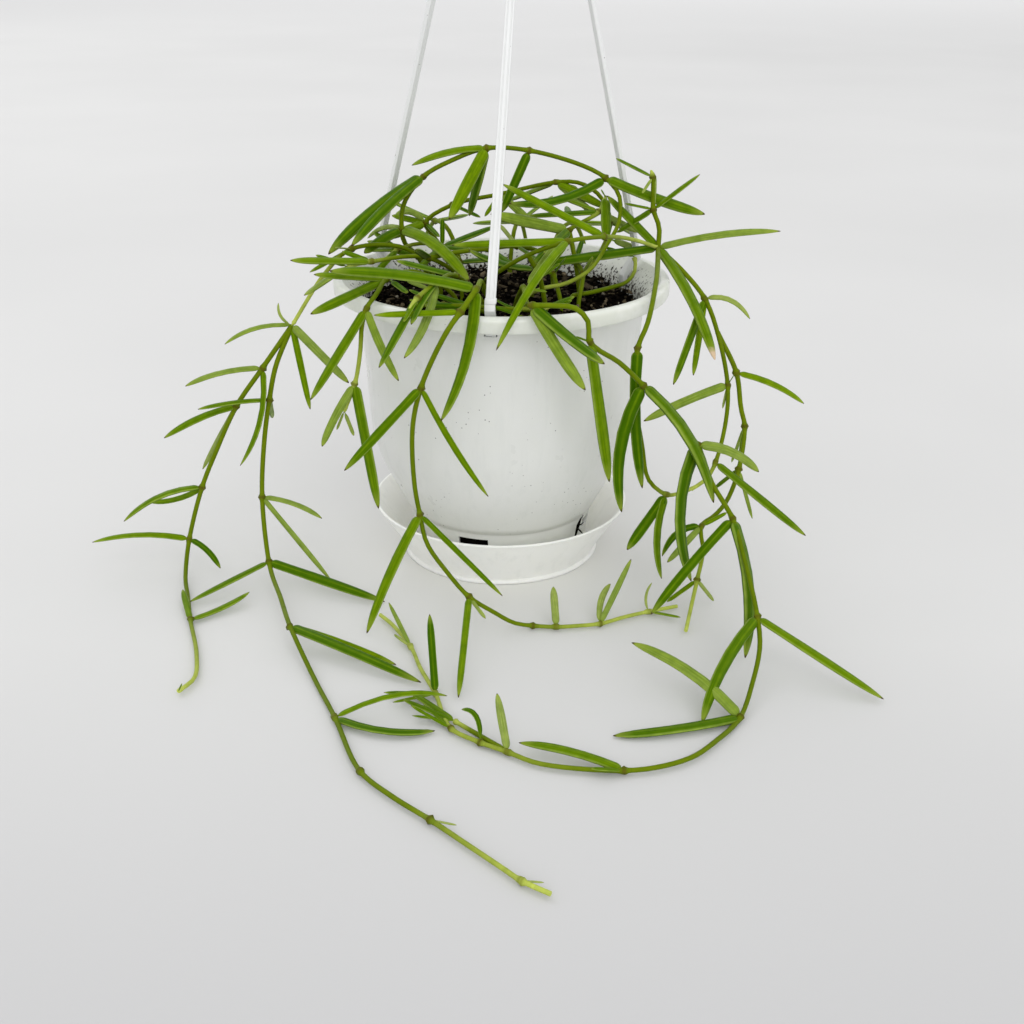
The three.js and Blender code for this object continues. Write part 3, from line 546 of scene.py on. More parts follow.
def makePot():
    outside = [(36.4, 7), (37.2, 2.8), (37.6, 2.3), (39.6, 2.3), (40, 2.7), (43.2, 21.6), (43.4, 23.2),
               (43.9, 24), *lowerWall(0, 12)[::-1], (61.6, 85), (62.9, 106), (64, 121), (64.3, 123),
               (65, 124.4), (66.6, 126), (69.8, 128.4), (71.6, 129.4), (72.9, 129.6), (73.1, 129),
               (73.2, 126.6), (73.5, 126.2), (74.2, 126.2), (74.7, 126.5), (74.95, 127.2), (75, 129),
               (75, 131), (74.85, 131.9), (74.3, 132.7), (73.5, 133), (71.8, 133), (71.1, 132.8),
               (70.7, 132.2)]
    inside = [(68.6, 130.4), (66, 128.2), (64, 126), (62.9, 123.8), (62.5, 121), (61.4, 106), (60.1, 85),
              *lowerWall(1.5, 10), (41.9, 23), (39.6, 9.6), (39, 8.8)]
    pot = turnPiece(outside + inside, potSizes["sides"])
    cutters = []
    for i in range(potSizes["drainHoles"]):
        turn = 2 * math.pi * i / potSizes["drainHoles"]
        ring = potSizes["drainRing"]
        place = Vector((ring * math.cos(turn), ring * math.sin(turn), potSizes["drainHeight"])) * mm
        clearSelection()
        bpy.ops.mesh.primitive_cylinder_add(vertices=potSizes["drainSides"], location=place,
                                            radius=potSizes["drainRadius"] * mm,
                                            depth=potSizes["drainDepth"] * mm)
        cutters.append(bpy.context.active_object)
        settle()
    for turn in potSizes["slotTurns"]:
        cutters.append(cutterBox(potSizes["slot"], (43.4, 0, potSizes["slotHeight"]), turn))
    for turn in armTurns:
        cutters.append(cutterBox(potSizes["window"], (64, 0, potSizes["windowHeight"]), turn))
    cutAway(pot, joinPieces(cutters))
    giveFinish(pot, potPlastic)
    pot.data.materials.append(soiledPlastic)
    for face in pot.data.polygons:
        middle = Vector((face.center.x, face.center.y, 0))
        inner = face.normal.dot(middle) < 0 and middle.length < potSizes["soiledReach"] * mm
        if inner and face.center.z > potSizes["soiledFrom"] * mm:
            face.material_index = 1
    finishPiece(pot, "potShell", ("pot",), angle=38)


makePot()
print("pot done")


# The saucer

saucerSizes = {"sides": 144,
               "outline": [(45.8, 0), (46.6, 0.15), (46.9, 0.6), (46.8, 1.3), (46.2, 1.9), (45.8, 2.3),
                           (46.4, 3.4), (49.8, 9.8), (53.4, 15.4), (57, 21), (59.5, 24.8), (60, 25.3),
                           (59.95, 25.75), (59.6, 26), (59.1, 25.95), (58.7, 25.6), (55.4, 20.8),
                           (51.8, 15.2), (48.4, 9.8), (44.8, 3.4), (43.8, 2.3), (42.8, 2)]}


def makeSaucer():
    saucer = turnPiece(saucerSizes["outline"], saucerSizes["sides"])
    giveFinish(saucer, saucerPlastic)
    finishPiece(saucer, "saucerDish", ("saucer",), angle=45)


makeSaucer()
print("saucer done")


# The hanger

hangerSizes = {"tops": ((12, -2), (5, 1), (5, 0)), "footRadius": 69.2, "rimHeight": 133,
               "topHeight": 386, "armHeights": (137.7, 150, 180, 215, 250, 290, 330, 383),
               "widthLow": 4.1, "widthHigh": 3.0, "thickness": 2.0, "collarHeight": 137,
               "collarRise": 2.4, "collarCorners": ((-1.4, -2.4), (1.4, -2.4), (1.4, 2.4), (-1.4, 2.4)),
               "hubShift": 8, "hookRadius": 13, "hookHeight": 417, "hookThickness": 2.3,
               "hookTip": (2.15, 1.6, 0.5)}


def armPoint(height, top):
    rim = hangerSizes["rimHeight"]
    share = (height - rim) / (hangerSizes["topHeight"] - rim)
    out = hangerSizes["footRadius"]
    return out + (top[0] - out) * share, top[1] * share


def makeArm(turn, world):
    # The arm is modelled with its foot towards +X, then turned into place
    back = math.radians(-turn)
    top = (world[0] * math.cos(back) - world[1] * math.sin(back),
           world[0] * math.sin(back) + world[1] * math.cos(back))
    deep, wide = hangerSizes["thickness"] / 2, hangerSizes["widthLow"] / 2
    # One long side of the section, with its two shallow flutes
    flutes = [(deep - 0.25, -1.0), (deep, -0.9), (deep, -0.62), (deep - 0.28, -0.5), (deep - 0.28, -0.4),
              (deep, -0.28), (deep, 0.28), (deep - 0.28, 0.4), (deep - 0.28, 0.5), (deep, 0.62), (deep, 0.9),
              (deep - 0.25, 1.0)]
    section = [(x, y * wide) for x, y in flutes] + [(-x, -y * wide) for x, y in flutes]
    heights = hangerSizes["armHeights"]
    x, y = armPoint(heights[0], top)
    arm = plateOf([(x + a, y + b, heights[0]) for a, b in section])
    startEdit(arm, "FACE")
    width = wide * 2
    for low, high in zip(heights, heights[1:]):
        nextX, nextY = armPoint(high, top)
        share = (high - heights[0]) / (heights[-1] - heights[0])
        nextWidth = hangerSizes["widthLow"] + (hangerSizes["widthHigh"] - hangerSizes["widthLow"]) * share
        step = Vector((nextX - x, nextY - y, high - low)) * mm
        bpy.ops.mesh.extrude_region_move(TRANSFORM_OT_translate={"value": tuple(step)})
        bpy.ops.transform.resize(value=(1, nextWidth / width, 1),
                                 center_override=(nextX * mm, nextY * mm, high * mm))
        x, y, width = nextX, nextY, nextWidth
    closeEdit()
    # The collar, just above the rim
    low, rise = hangerSizes["collarHeight"], hangerSizes["collarRise"]
    x, y = armPoint(low, top)
    nextX, nextY = armPoint(low + rise, top)
    collar = plateOf([(x + a, y + b, low) for a, b in hangerSizes["collarCorners"]])
    thicken(collar, (nextX - x, nextY - y, rise))
    applyModifier(collar, "BEVEL", width=0.6 * mm, segments=3)
    # The foot follows the flared rim down inside, and its barb catches in the window of the wall
    foot = plateOf([(radius, -2.15, height) for radius, height in (
        (68.8, 138.2), (69.6, 134.4), (66.2, 130.6), (63.1, 126.4), (62.4, 123.4), (64.1, 123.2),
        (64.1, 122.4), (60.6, 122.2), (60.4, 126.9), (63.4, 131.7), (66.5, 135.2), (66.8, 138.2))])
    thicken(foot, (0, 4.3, 0))
    applyModifier(foot, "BEVEL", width=0.25 * mm, segments=2, limit_method="ANGLE")
    whole = joinPieces([arm, collar, foot])
    whole.rotation_euler = (0, 0, math.radians(turn))
    settle()
    return whole


def makeHook():
    radius, shift = hangerSizes["hookRadius"], hangerSizes["hubShift"]
    # The shank, with a bend that runs over smoothly into the round of the hook
    points = [(shift, 0, 386), (shift, 0, 391), (shift, 0, 395), (8.02, 0, 398.5), (7.6, 0, 402),
              (7.0, 0, 404.6)]
    for i in range(1, 53):
        turn = math.radians(-60 + 5 * i)
        points.append((radius * math.cos(turn), 0, hangerSizes["hookHeight"] + radius * math.sin(turn)))
    thick = [hangerSizes["hookThickness"]] * len(points)
    thick[-3:] = hangerSizes["hookTip"]
    return tubeAlong(points, thick, sides=16)


def makeHanger():
    hub = turnPiece([(4, 379), (5.4, 379), (6.4, 379.7), (7, 380.8), (7, 383.6), (6.7, 384.8), (5.6, 385.9),
                     (4.2, 387), (3.1, 388.4), (2.5, 390)], sides=48)
    hub.location.x = hangerSizes["hubShift"] * mm
    settle()
    parts = [hub, makeHook()]
    for turn, world in zip(armTurns, hangerSizes["tops"]):
        parts.append(makeArm(turn, world))
    hanger = joinPieces(parts)
    giveFinish(hanger, hangerPlastic)
    finishPiece(hanger, "threeArmHanger", ("hanger",), angle=34)


makeHanger()
print("hanger done")


# The potting mix

soilSizes = {"top": 120, "sides": 96, "bump": 1.3, "bumpsAbove": 119.2, "bumpsWithin": 60.8,
             "reach": 60.5}
# What is strewn over it: box sizes in mm to start from, how many, and the ranges to draw from
strewnKinds = {
    "barkChips": {"boxes": ((5.2, 2.4, 0.9), (3.6, 2.6, 1.2), (7.2, 1.3, 0.8), (2.9, 2.0, 1.4),
                            (4.4, 3.0, 0.7)),
                  "seed": 0, "count": 1300, "sizes": (0.3, 0.95), "heights": (119.9, 121.7),
                  "tones": (-1.8, 0.65), "finish": barkFinish},
    "fineCrumbs": {"boxes": ((1.6, 1.2, 1.0), (1.2, 1.1, 0.9)),
                   "seed": 9, "count": 320, "sizes": (0.5, 1.3), "heights": (120.4, 122.6),
                   "tones": (-1.2, 0.9), "finish": barkFinish},
    "paleGrains": {"boxes": ((1.5, 1.2, 1.1), (1.1, 1.0, 0.9), (2.0, 1.3, 1.2)),
                   "seed": 20, "count": 40, "sizes": (0.35, 0.8), "heights": (120.8, 122.4),
                   "tones": (0.0, 1.0), "finish": gritFinish},
}


def makeEarthPlug():
    plug = turnPiece([(38.6, 9.15), (41.5, 23), *lowerWall(1.85, 8)[::-1], (59.6, 85), (61, 106),
                      (62.0, 118.6), (60.5, 119.6),
                      *[(radius, soilSizes["top"]) for radius in range(57, 4, -4)],
                      (2, soilSizes["top"])], soilSizes["sides"])
    for corner in plug.data.vertices:
        within = math.hypot(corner.co.x, corner.co.y) < soilSizes["bumpsWithin"] * mm
        if within and corner.co.z > soilSizes["bumpsAbove"] * mm:
            lift = noise.noise(corner.co * 70) + noise.noise(corner.co * 260) * 0.6
            corner.co.z += soilSizes["bump"] * mm * lift
    giveFinish(plug, earthFinish)
    setValues(plug, "crumbTone", [0.0] * len(plug.data.vertices))
    finishPiece(plug, "earthPlug", ("soil",), angle=60)


def makeChipShape(size, seed):
    clearSelection()
    bpy.ops.mesh.primitive_cube_add(size=mm)
    chip = bpy.context.active_object
    chip.scale = size
    settle()
    startEdit(chip, "FACE")
    bpy.ops.mesh.subdivide(number_cuts=1)
    closeEdit()
    for corner in chip.data.vertices:
        corner.co *= 1 + 0.6 * noise.noise(corner.co * 700 + Vector((seed, 0, 0)))
    return chip


def strew(name, kind, source):
    # Copies of a few chip shapes, each with its own mesh, strewn over the potting mix
    shapes = [makeChipShape(size, kind["seed"] + i) for i, size in enumerate(kind["boxes"])]
    strewn = []
    for i in range(kind["count"]):
        shape = shapes[i % len(shapes)]
        mesh = shape.data.copy()
        reach = math.sqrt(source.uniform(0, 1)) * soilSizes["reach"]
        turn = source.uniform(0, 2 * math.pi)
        height = source.uniform(*kind["heights"])
        place = Vector((reach * math.cos(turn), reach * math.sin(turn), height)) * mm
        tilt = Euler((source.uniform(-0.5, 0.5), source.uniform(-0.5, 0.5), source.uniform(0, 6.3)))
        size = Vector((1, 1, 1)) * source.uniform(*kind["sizes"])
        mesh.transform(Matrix.LocRotScale(place, tilt, size))
        strewn.append(addCopy(shape, mesh, {"crumbTone": source.uniform(*kind["tones"])}))
    for shape in shapes:
        bpy.data.objects.remove(shape)
    whole = joinPieces(strewn)
    giveFinish(whole, kind["finish"])
    finishPiece(whole, name, angle=50)


def makePottingMix():
    makeEarthPlug()
    source = random.Random(41)
    for name, kind in strewnKinds.items():
        strew(name, kind, source)


# Each twig of the stray root: its points as distance out, turn and height, then its thicknesses
rootTwigs = (
    (((46.9, -43, 16.8), (46.3, -40.5, 19.2), (45.7, -38, 21.6), (45.5, -35.5, 23.6), (45.6, -32.5, 25.2)),
     (0.2, 0.6, 0.75, 0.45, 0.15)),
    (((45.9, -39, 20.6), (46.8, -37.5, 18.9), (47.4, -36, 17.2)), (0.3, 0.4, 0.12)),
    (((45.7, -38, 21.6), (46.4, -36, 21.8), (46.9, -34.5, 22.6)), (0.3, 0.25, 0.1)),
)


def makeStrayRoot():
    # A dry black root that has grown out under the pot and lies against its lower wall
    twigs = []
    for rows, radii in rootTwigs:
        points = [(out * math.cos(math.radians(turn)), out * math.sin(math.radians(turn)), height)
                  for out, turn, height in rows]
        twigs.append(tubeAlong(points, radii, sides=8))
    whole = joinPieces(twigs)
    setValues(whole, "crumbTone", [0.0] * len(whole.data.vertices))
    giveFinish(whole, earthFinish)
    finishPiece(whole, "strayRoot")


makePottingMix()
makeStrayRoot()
print("potting mix done")


# The plant. A vine is a list of strands, and a strand is a list of joints: x, y and z in mm, then leaves.
# A leaf is the step from its joint to its tip, and three more numbers push its middle aside.

stemSizes = {"old": 1.15, "young": 0.85, "tip": 0.4, "knob": 0.72, "knobReach": 1.1, "knobBumps": 0.5,
             "sides": 8, "step": 3.4, "fineStep": 0.75, "fineWithin": 3.2, "sample": 0.7}
leafSizes = {"base": 2.1, "perLength": 0.05, "most": 5.4, "spread": 0.12, "leanMost": 25, "footLength": 3.6,
             "overlap": 0.6, "clear": 0.25, "twist": 14, "thin": 0.15, "thinTo": 22, "footEnd": 0.16,
             "footMost": 0.33, "wave": 0.035, "sides": 16, "flat": 0.56, "top": 0.92, "groove": 0.5,
             "tipClear": 0.3, "middleClear": 1.2,
             "stations": ((0, 0.28), (0.04, 0.27), (0.07, 0.32), (0.085, 0.56), (0.1, 0.74), (0.13, 0.92),
                          (0.16, 0.99), (0.3, 1.0), (0.45, 1.02), (0.6, 1.01), (0.7, 0.98),
                          (0.78, 0.93), (0.85, 0.83), (0.9, 0.7), (0.94, 0.53), (0.97, 0.35),
                          (0.99, 0.18), (1, 0.05))}
rootBottom = 96
# Joints that bear no leaf and still have a knob, and the numbers of leaves with a tone of their own.
# Leaves are numbered through each vine, so 301 is the first leaf of the third vine.
bareKnobs = ((-49, -193, 2), (14, -88, 2))
toneRanges = {"usual": (0.16, 0.6), "dark": (0.0, 0.12), "pale": (0.88, 1.0)}
dryLeaves = (608,)
darkLeaves = (114, 122, 125, 126, 301, 306, 307, 415, 416, 418, 420, 421, 422, 423, 424, 502, 507, 509,
              510, 511, 519, 522, 530, 606, 616, 617, 631, 701, 702, 704, 705, 708, 709, 710, 802, 805,
              903, 904, 909, 911, 1001, 1002, 1003, 1008, 1101, 1102, 1303, 1304, 1402, 2001, 2005, 2009)
paleLeaves = (103, 106, 107, 120, 121, 205, 206, 305, 412, 417, 503, 508, 514, 525, 605, 622, 628, 630,
              632, 807, 901, 906, 912, 2003, 2004, 2006, 2007, 2008, 2011)
youngLeaves = (101, 104, 110, 128, 129, 208, 209, 308, 409, 410, 411, 413, 518, 526, 613, 615, 619, 624,
               635)
# Short leaves deep in the crown, each with its stem, joint and number
crownLeaves = (
    ("vine_middle", (14, -20, 140), (-28, -14, 11, 0, 0, -2), 2001),
    ("vine_right", (23, -30, 152), (-12, -10, -14), 2003),
    ("vine_back_arch", (25, 36, 167), (19, -8, -14), 2004),
    ("vine_middle", (-47, -34, 138), (8, -10, -3), 2005),
    ("vine_middle", (-41, -30, 137), (10, -6, -2), 2006),
    ("vine_back_arch", (-36, 40, 147), (-15, 3, 2, 0, 0, 4), 2007),
    ("vine_inner_right", (51, 24, 143), (14, 6, -6), 2008),
    ("vine_front", (9, -50, 130), (-12, 2, 4, 0, 0, -1), 2009),
    ("vine_front", (8, -56, 129), (-12, 4, 3), 2010),
    ("vine_arch", (-45, 10, 150), (-17, 14, -7, 0, 0, 3), 2011),
)
# The share of the usual leaf width for each stem in turn, and single leaves that are narrower or wider
stemWidthShares = (0.77, 0.97, 1.0, 0.97, 1.1, 0.9, 1.12, 1.08, 1.05, 1.1, 1.0, 1.05, 1.0, 1.0)
ownWidthShares = {
    103: 0.9, 106: 1.05, 107: 1.1, 109: 1.15, 111: 1.1, 113: 0.85, 118: 0.95, 121: 0.75, 122: 1.15,
    126: 1.2, 127: 0.7, 403: 0.8, 405: 0.6, 407: 0.6, 408: 0.68, 410: 1.2, 412: 0.75, 413: 0.6, 414: 0.9,
    417: 0.85, 502: 1.5, 506: 1.15, 507: 0.95, 509: 1.15, 510: 0.8, 511: 1.2, 512: 0.85,
    515: 0.95, 516: 1.05, 520: 0.5, 521: 0.5, 522: 0.75, 523: 0.6, 524: 0.6, 525: 0.55, 527: 0.8,
    528: 0.6, 529: 0.6, 601: 0.75, 603: 0.9, 604: 0.75, 605: 0.8, 607: 1.25, 608: 1.35, 612: 0.75,
    617: 1.3, 702: 1.3, 703: 1.15, 707: 1.2, 708: 1.2, 801: 1.5, 803: 1.3, 808: 1.4, 901: 1.45, 904: 0.8,
    907: 1.35, 2001: 1.1, 2003: 1.3, 2004: 1.1, 2005: 1.5, 2006: 1.2, 2007: 1.7, 2008: 1.5, 2009: 0.9,
    2010: 0.9,
}


def rooted(x, y):
    return [(x, y, rootBottom), (x, y, 119), (x, y, 124)]


vines = {
    "vine_left": [
        [*rooted(-28, 8), (-42, 2, 143), (-66, -7, 145, [-6, -11, 3], [-18, -6, -9]), (-77, -14, 136),
         (-92, -20, 114, [-29, -6, -7, -1, 0, 3], [-6, 4, 9, -2, 0, -1], [8, -14, -34], [28, -34, -15])],
        [(-92, -20, 114), (-106, -22, 95, [-33, -8, -6, -1, 0, 2], [-11, -12, -42, 4, 0, -1]),
         (-119, -22, 77, [-33, -4, -14, 0, 0, 2], [-20, 8, -34]), (-130, -24, 55),
         (-137, -26, 39, [-34, -12, -12, -1, 0, 4], [-28, 10, -12, 1, 0, -2]),
         (-144, -31, 15, [-43, -6, 1, 0, 0, 3], [16, -12, -9, 1, 0, 2]), (-143, -48, 4), (-139, -62, 2),
         (-133, -84, 2, [-8, 22, 3], [22, 20, 3, 1, 0, -1]), (-124, -113, 2), (-121, -132, 2),
         (-125, -141, 2, [3, -4, 6])],
        [(-92, -20, 114), (-100, -22, 96), (-104, -22, 80, [-30, -10, -1, 0, 0, 1], [-4, 26, -18]),
         (-107, -25, 62), (-109, -30, 36, [28, -8, -7, 1, 0, 2], [33, -22, -32]),
         (-105, -46, 11, [54, -21, -9], [-32, -22, -9]), (-95, -76, 8),
         (-87, -102, 9, [45, -17, -8, 0, 0, 1], [56, -32, -7, -1, 0, 1]), (-74, -130, 2),
         (-62, -159, 2, [38, -7, -1, 0, -6, 1], [42, 9, 4, 1, 0, 5]), (-49, -193, 2), (-37, -207, 2),
         (-23, -220, 2, [9, -4, 1]), (-10, -233, 2), (1, -244, 2), (7, -250, 2, [7, -2, 1]),
         (16, -256, 2)],
    ],
    "vine_short": [
        [*rooted(-20, -12), (-36, -24, 139), (-48, -40, 140, [-27, -22, 7], [-28, -30, -7], [-16, 8, 0]),
         (-51, -52, 137), (-55, -58, 132, [-23, -12, -35], [14, -20, -24, -1, 0, 0]), (-57, -59, 125),
         (-58, -59, 115), (-61, -58, 100, [-14, -8, -25, -1, 0, 0], [10, -20, -48]),
         (-66, -58, 88, [4, -3, -10], [-3, -4, -7])],
    ],
    "vine_high_left": [
        [*rooted(-12, 2), (-32, -10, 142, [-4, -24, 9]), (-56, -22, 143, [-32, -16, 4], [-13, 6, 3]),
         (-66, -27, 142, [-14, 8, 3], [-16, -18, -8])],
        [(-32, -10, 142), (-18, -2, 143), (-6, 4, 143, [14, -16, -6]),
         (7, 14, 142, [10, -16, -3], [-8, 14, 7]), (20, 22, 136), *rooted(24, 26)[::-1]],
    ],
    "vine_middle": [
        [*rooted(-4, -36), (-8, -50, 141),
         (-10, -72, 144, [-14, -14, -50, 3, -2, -1], [-59, 12, 4, 0, 0, 2]), (-16, -80, 137, [-34, 2, -2]),
         (-20, -83, 132), (-25, -83, 123), (-32, -80, 106, [-31, -10, -32], [27, -8, -44, -1, 0, -1]),
         (-36, -77, 88), (-36, -75, 62),
         (-34, -75, 48, [-22, -22, -45, -1, 0, 1], [35, -22, -27]), (-31, -80, 37),
         (-22, -88, 27), (-13, -94, 19, [-3, -51, -17], [7, -6, -7]), (-3, -94, 12), (6, -91, 5),
         (14, -88, 2), (24, -89, 2, [-1, 14, 12]), (33, -88, 2),
         (43, -86, 2, [5, 14, 12, -2, 0, 1], [13, 10, 26]), (54, -80, 2),
         (65, -75, 2, [2, 10, 9, -2, 0, 0], [13, -7, 1]), (78, -70, 2)],
        [*rooted(-8, -20), (-19, -42, 142, [-24, -8, 8]),
         (-26, -66, 145, [-9, -18, -12, -1, 0, 0], [-12, -20, -25, 2, 0, -1]),
         (-33, -74, 141, [-15, -12, -25], [-5, -10, -7]), (-36, -79, 138)],
        [(-4, -36, 124), (-12, -46, 130, [-20, -6, 2], [-17, 8, 3]), (4, -53, 131),
         (20, -54, 132, [9, 4, 2], [8, -3, 4])],
        [(-12, -46, 130), (-24, -48, 131, [-15, 10, 4], [-14, -3, 3]), (-34, -38, 128),
         *rooted(-36, -30)[::-1]],
    ],
    "vine_front": [
        [*rooted(6, -26), (9, -46, 138, [10, 6, -3]), (10, -66, 137),
         (12, -77, 139, [28, -15, -19, 0, 0, -1], [21, -14, -30, -1, 0, 0]), (21, -77, 139),
         (29, -77, 138), (34, -78, 133), (35, -79, 125, [10, 0, -60], [-6, -3, 3]), (48, -72, 114),
         (58, -70, 104, [30, -14, -46, 4, 0, 3], [-7, -6, -54, -5, 0, 1]), (69, -71, 92),
         (81, -75, 80, [26, -2, -11, 1, 0, 3], [0, -10, -58, -6, 0, 1]), (87, -81, 66),
         (95, -91, 54, [-33, -14, -37, -1, 0, 0], [5, -25, -51, 4, 0, 0]), (99, -103, 41),
         (103, -118, 23, [46, -27, -21], [-27, -44, -21, -3, 0, 1]), (103, -127, 15), (98, -142, 7),
         (91, -158, 2, [-39, 30, 15, 2, 0, 3], [-49, -11, -1, 0, -3, 1]), (80, -173, 2), (69, -184, 2),
         (56, -190, 2), (44, -192, 2, [-37, 14, 2, 1, 1, 1], [-12, -3, 3]), (22, -190, 2), (12, -187, 2),
         (3, -181, 2, [-4, 14, 16]), (-7, -175, 2, [-7, 8, 9, 2, 0, 4]),
         (-18, -166, 2, [-11, 13, 2], [-15, 3, 8]),
         (-25, -142, 2, [-3, 22, 23], [-20, -1, 1], [-16, -8, 1]), (-32, -123, 2),
         (-37, -106, 2, [-10, 16, 12], [-7, 3, 4]), (-47, -86, 2), (-52, -79, 2)],
        [(3, -181, 2), (-6, -172, 2), (-17, -161, 2, [-18, 19, 1], [-20, 10, 3], [-16, 2, 1])],
        [(6, -26, 124), (14, -40, 126, [17, 4, 6]), (6, -56, 126),
         (-12, -58, 126, [-18, 2, 2], [-14, 9, 1])],
    ],
    "vine_right": [
        [*rooted(-8, 10), (-2, -28, 140), (11, -38, 150),
         (27, -44, 157, [-29, -44, -33, 1, 0, 6], [-15, 2, -20], [-48, 14, -5]),
         (43, -30, 156, [-43, 26, 17]), (58, -8, 150),
         (70, 4, 144, [53, -6, 9, 0, 0, 2], [-58, -10, -6], [-23, 10, 21], [22, -42, -39, 2, 0, 2])],
        [(11, -38, 150), (16, -32, 139, [9, 9, 4]), *rooted(19, -28)[::-1]],
        [(70, 4, 144), (70, 4, 153), (67, 4, 161, [-12, 8, 1], [-15, 8, -12], [19, -4, 16], [0, 0, 15]),
         (66, 4, 175, [-16, 6, 7], [-5, -6, -6]), (65, 4, 178)],
        [(70, 4, 144), (68, -14, 142), (65, -36, 138), (60, -56, 126),
         (56, -61, 117, [4, -8, -59, -2, 0, 0]), (56, -62, 95), (60, -60, 74), (64, -58, 57),
         (72, -57, 50, [-17, -10, -22], [-2, -16, -33, -3, 0, 0]), (79, -53, 49), (86, -50, 51)],
        [(70, 4, 144), (81, -4, 135),
         (90, -12, 125, [20, -4, -8, 1, 0, 4], [-5, -14, -31], [-15, -24, -32]), (96, -16, 111),
         (101, -24, 89, [-39, -20, -10, 0, 0, 1], [2, -3, 6], [-2, -3, -10]), (100, -32, 75),
         (95, -42, 59, [40, -14, -29]), (91, -46, 53), (84, -49, 49)],
        [(96, -16, 111), (106, -16, 92, [31, -4, -13, 1, 0, 2]), (109, -18, 76),
         (111, -20, 68, [-2, -4, -12], [-3, 8, -21]), (108, -30, 51, [-9, 8, -13], [7, -6, -22]),
         (102, -40, 40), (96, -47, 36),
         (89, -53, 33, [-18, -10, -10, -2, 0, 4], [-17, -20, -8], [12, 6, 4]), (89, -62, 25),
         (86, -70, 15, [-12, 4, -13], [9, 5, -13]), (83, -78, 7), (79, -92, 2)],
    ],
    "vine_arch": [
        [*rooted(-34, 24), (-39, 20, 136, [-24, 12, 4]), (-44, 14, 143),
         (-45, 10, 150, [-16, -12, -8, 0, 0, 1], [31, -34, -15, 1, 0, 4]), (-44, 10, 161),
         (-35, 13, 173, [-41, -22, -30, -1, 0, 2], [-30, -28, -25, -1, 0, 1]), (-22, 15, 180),
         (-7, 16, 185, [-33, -4, -7, 0, 0, 2], [-16, -22, -27], [-8, 6, -31]),
         (12, 17, 184, [-12, -6, -26]), (36, 14, 178),
         (46, 12, 173, [-43, -12, -9, 1, 0, -4], [44, -8, -14, 0, 0, -1]), (52, 9, 166), (52, 5, 155),
         (46, -3, 146), (39, -12, 138), (28, -18, 133), (17, -20, 131), *rooted(10, -13)[::-1]],
    ],
    "vine_back_arch": [
        [*rooted(-22, 42), (-32, 41, 140),
         (-36, 40, 147, [-16, 2, 3], [7, -12, -4], [-17, -14, -4], [-6, 15, -3]),
         (-23, 38, 156, [13, -4, -5]), (-1, 38, 161, [-7, -7, -9], [16, -16, -11]),
         (25, 36, 167, [23, -8, -10], [10, 4, -3], [-22, 18, -12]), (36, 34, 167), (45, 30, 162),
         (50, 26, 151, [14, 30, -12]), (46, 24, 138), *rooted(36, 22)[::-1]],
    ],
    "vine_inner_right": [
        [*rooted(14, 10), (21, 6, 138), (30, 6, 151, [-35, -10, 9], [-12, -30, -4], [-17, -24, -10]),
         (37, 12, 154), (44, 18, 157, [-33, -6, -1], [-17, 8, 5], [19, 4, -10]),
         (47, 22, 163, [0, -14, -17], [-2, 2, 3])],
        [(30, 6, 151), (33, 3, 138, [4, 14, 7]), *rooted(35, 0)[::-1]],
        [(21, 6, 138), (23, -6, 134, [-9, -9, 7], [5, -6, 9]), *rooted(26, -18)[::-1]],
        [(33, 3, 138), (36, -4, 134, [4, -6, 9]), *rooted(34, -15)[::-1]],
    ],
    "vine_inner_left": [
        [*rooted(-20, 22), (-23, 14, 136),
         (-27, 12, 142, [0, 6, 12], [24, 12, 7], [13, -10, 1], [-10, -16, -6]), (-37, 14, 143),
         (-47, 10, 141, [-16, 12, -3], [-12, 10, 6], [-9, -14, -7]), (-53, 6, 137)],
        [(-27, 12, 142), (-19, 8, 136, [22, -8, 4], [-5, -12, 4]), *rooted(-18, 4)[::-1]],
    ],
    "vine_curled": [
        [*rooted(30, -8), (40, -6, 126), (50, 0, 127), (57, 6, 128), (61, 12, 132),
         (61, 16, 137, [-14, 2, 4], [-5, 5, 1])],
    ],
    "vine_back_left": [
        [*rooted(-20, 52), (-26, 58, 140), (-33, 69, 142, [-24, 20, 6], [16, 26, -2]), (-39, 79, 130),
         (-43, 83, 112, [-18, 22, -28], [20, 12, -34]), (-45, 85, 88),
         (-44, 87, 60, [-14, 24, -32], [24, 14, -30]), (-42, 91, 34),
         (-36, 98, 13, [-26, 24, -9], [24, 26, -8]), (-24, 107, 3),
         (-8, 112, 2, [-27, 16, 3], [16, -24, 5]), (8, 110, 2, [9, 4, 3], [7, -7, 2])],
    ],
    "vine_back_middle": [
        [*rooted(4, 50), (6, 58, 140), (9, 71, 142, [-24, 22, -6], [17, 24, 8]), (12, 81, 131),
         (14, 85, 112, [-20, 16, -32], [12, 20, -34]), (13, 87, 86),
         (10, 88, 64, [-10, 10, -24], [12, 8, -26], [2, 12, -8])],
    ],
    "vine_back_right": [
        [*rooted(22, 46), (28, 56, 140), (35, 67, 142, [30, 18, -4], [-2, 32, 2]), (41, 77, 131),
         (45, 81, 112, [16, 22, -34], [-8, 24, -30]), (47, 84, 84),
         (45, 88, 54, [14, 26, -32], [-24, 20, -24]), (40, 94, 26),
         (32, 104, 7, [30, 22, -4], [-14, 30, -4]), (20, 116, 2), (4, 125, 2, [-20, 8, 6], [-6, 24, 4])],
    ],
}


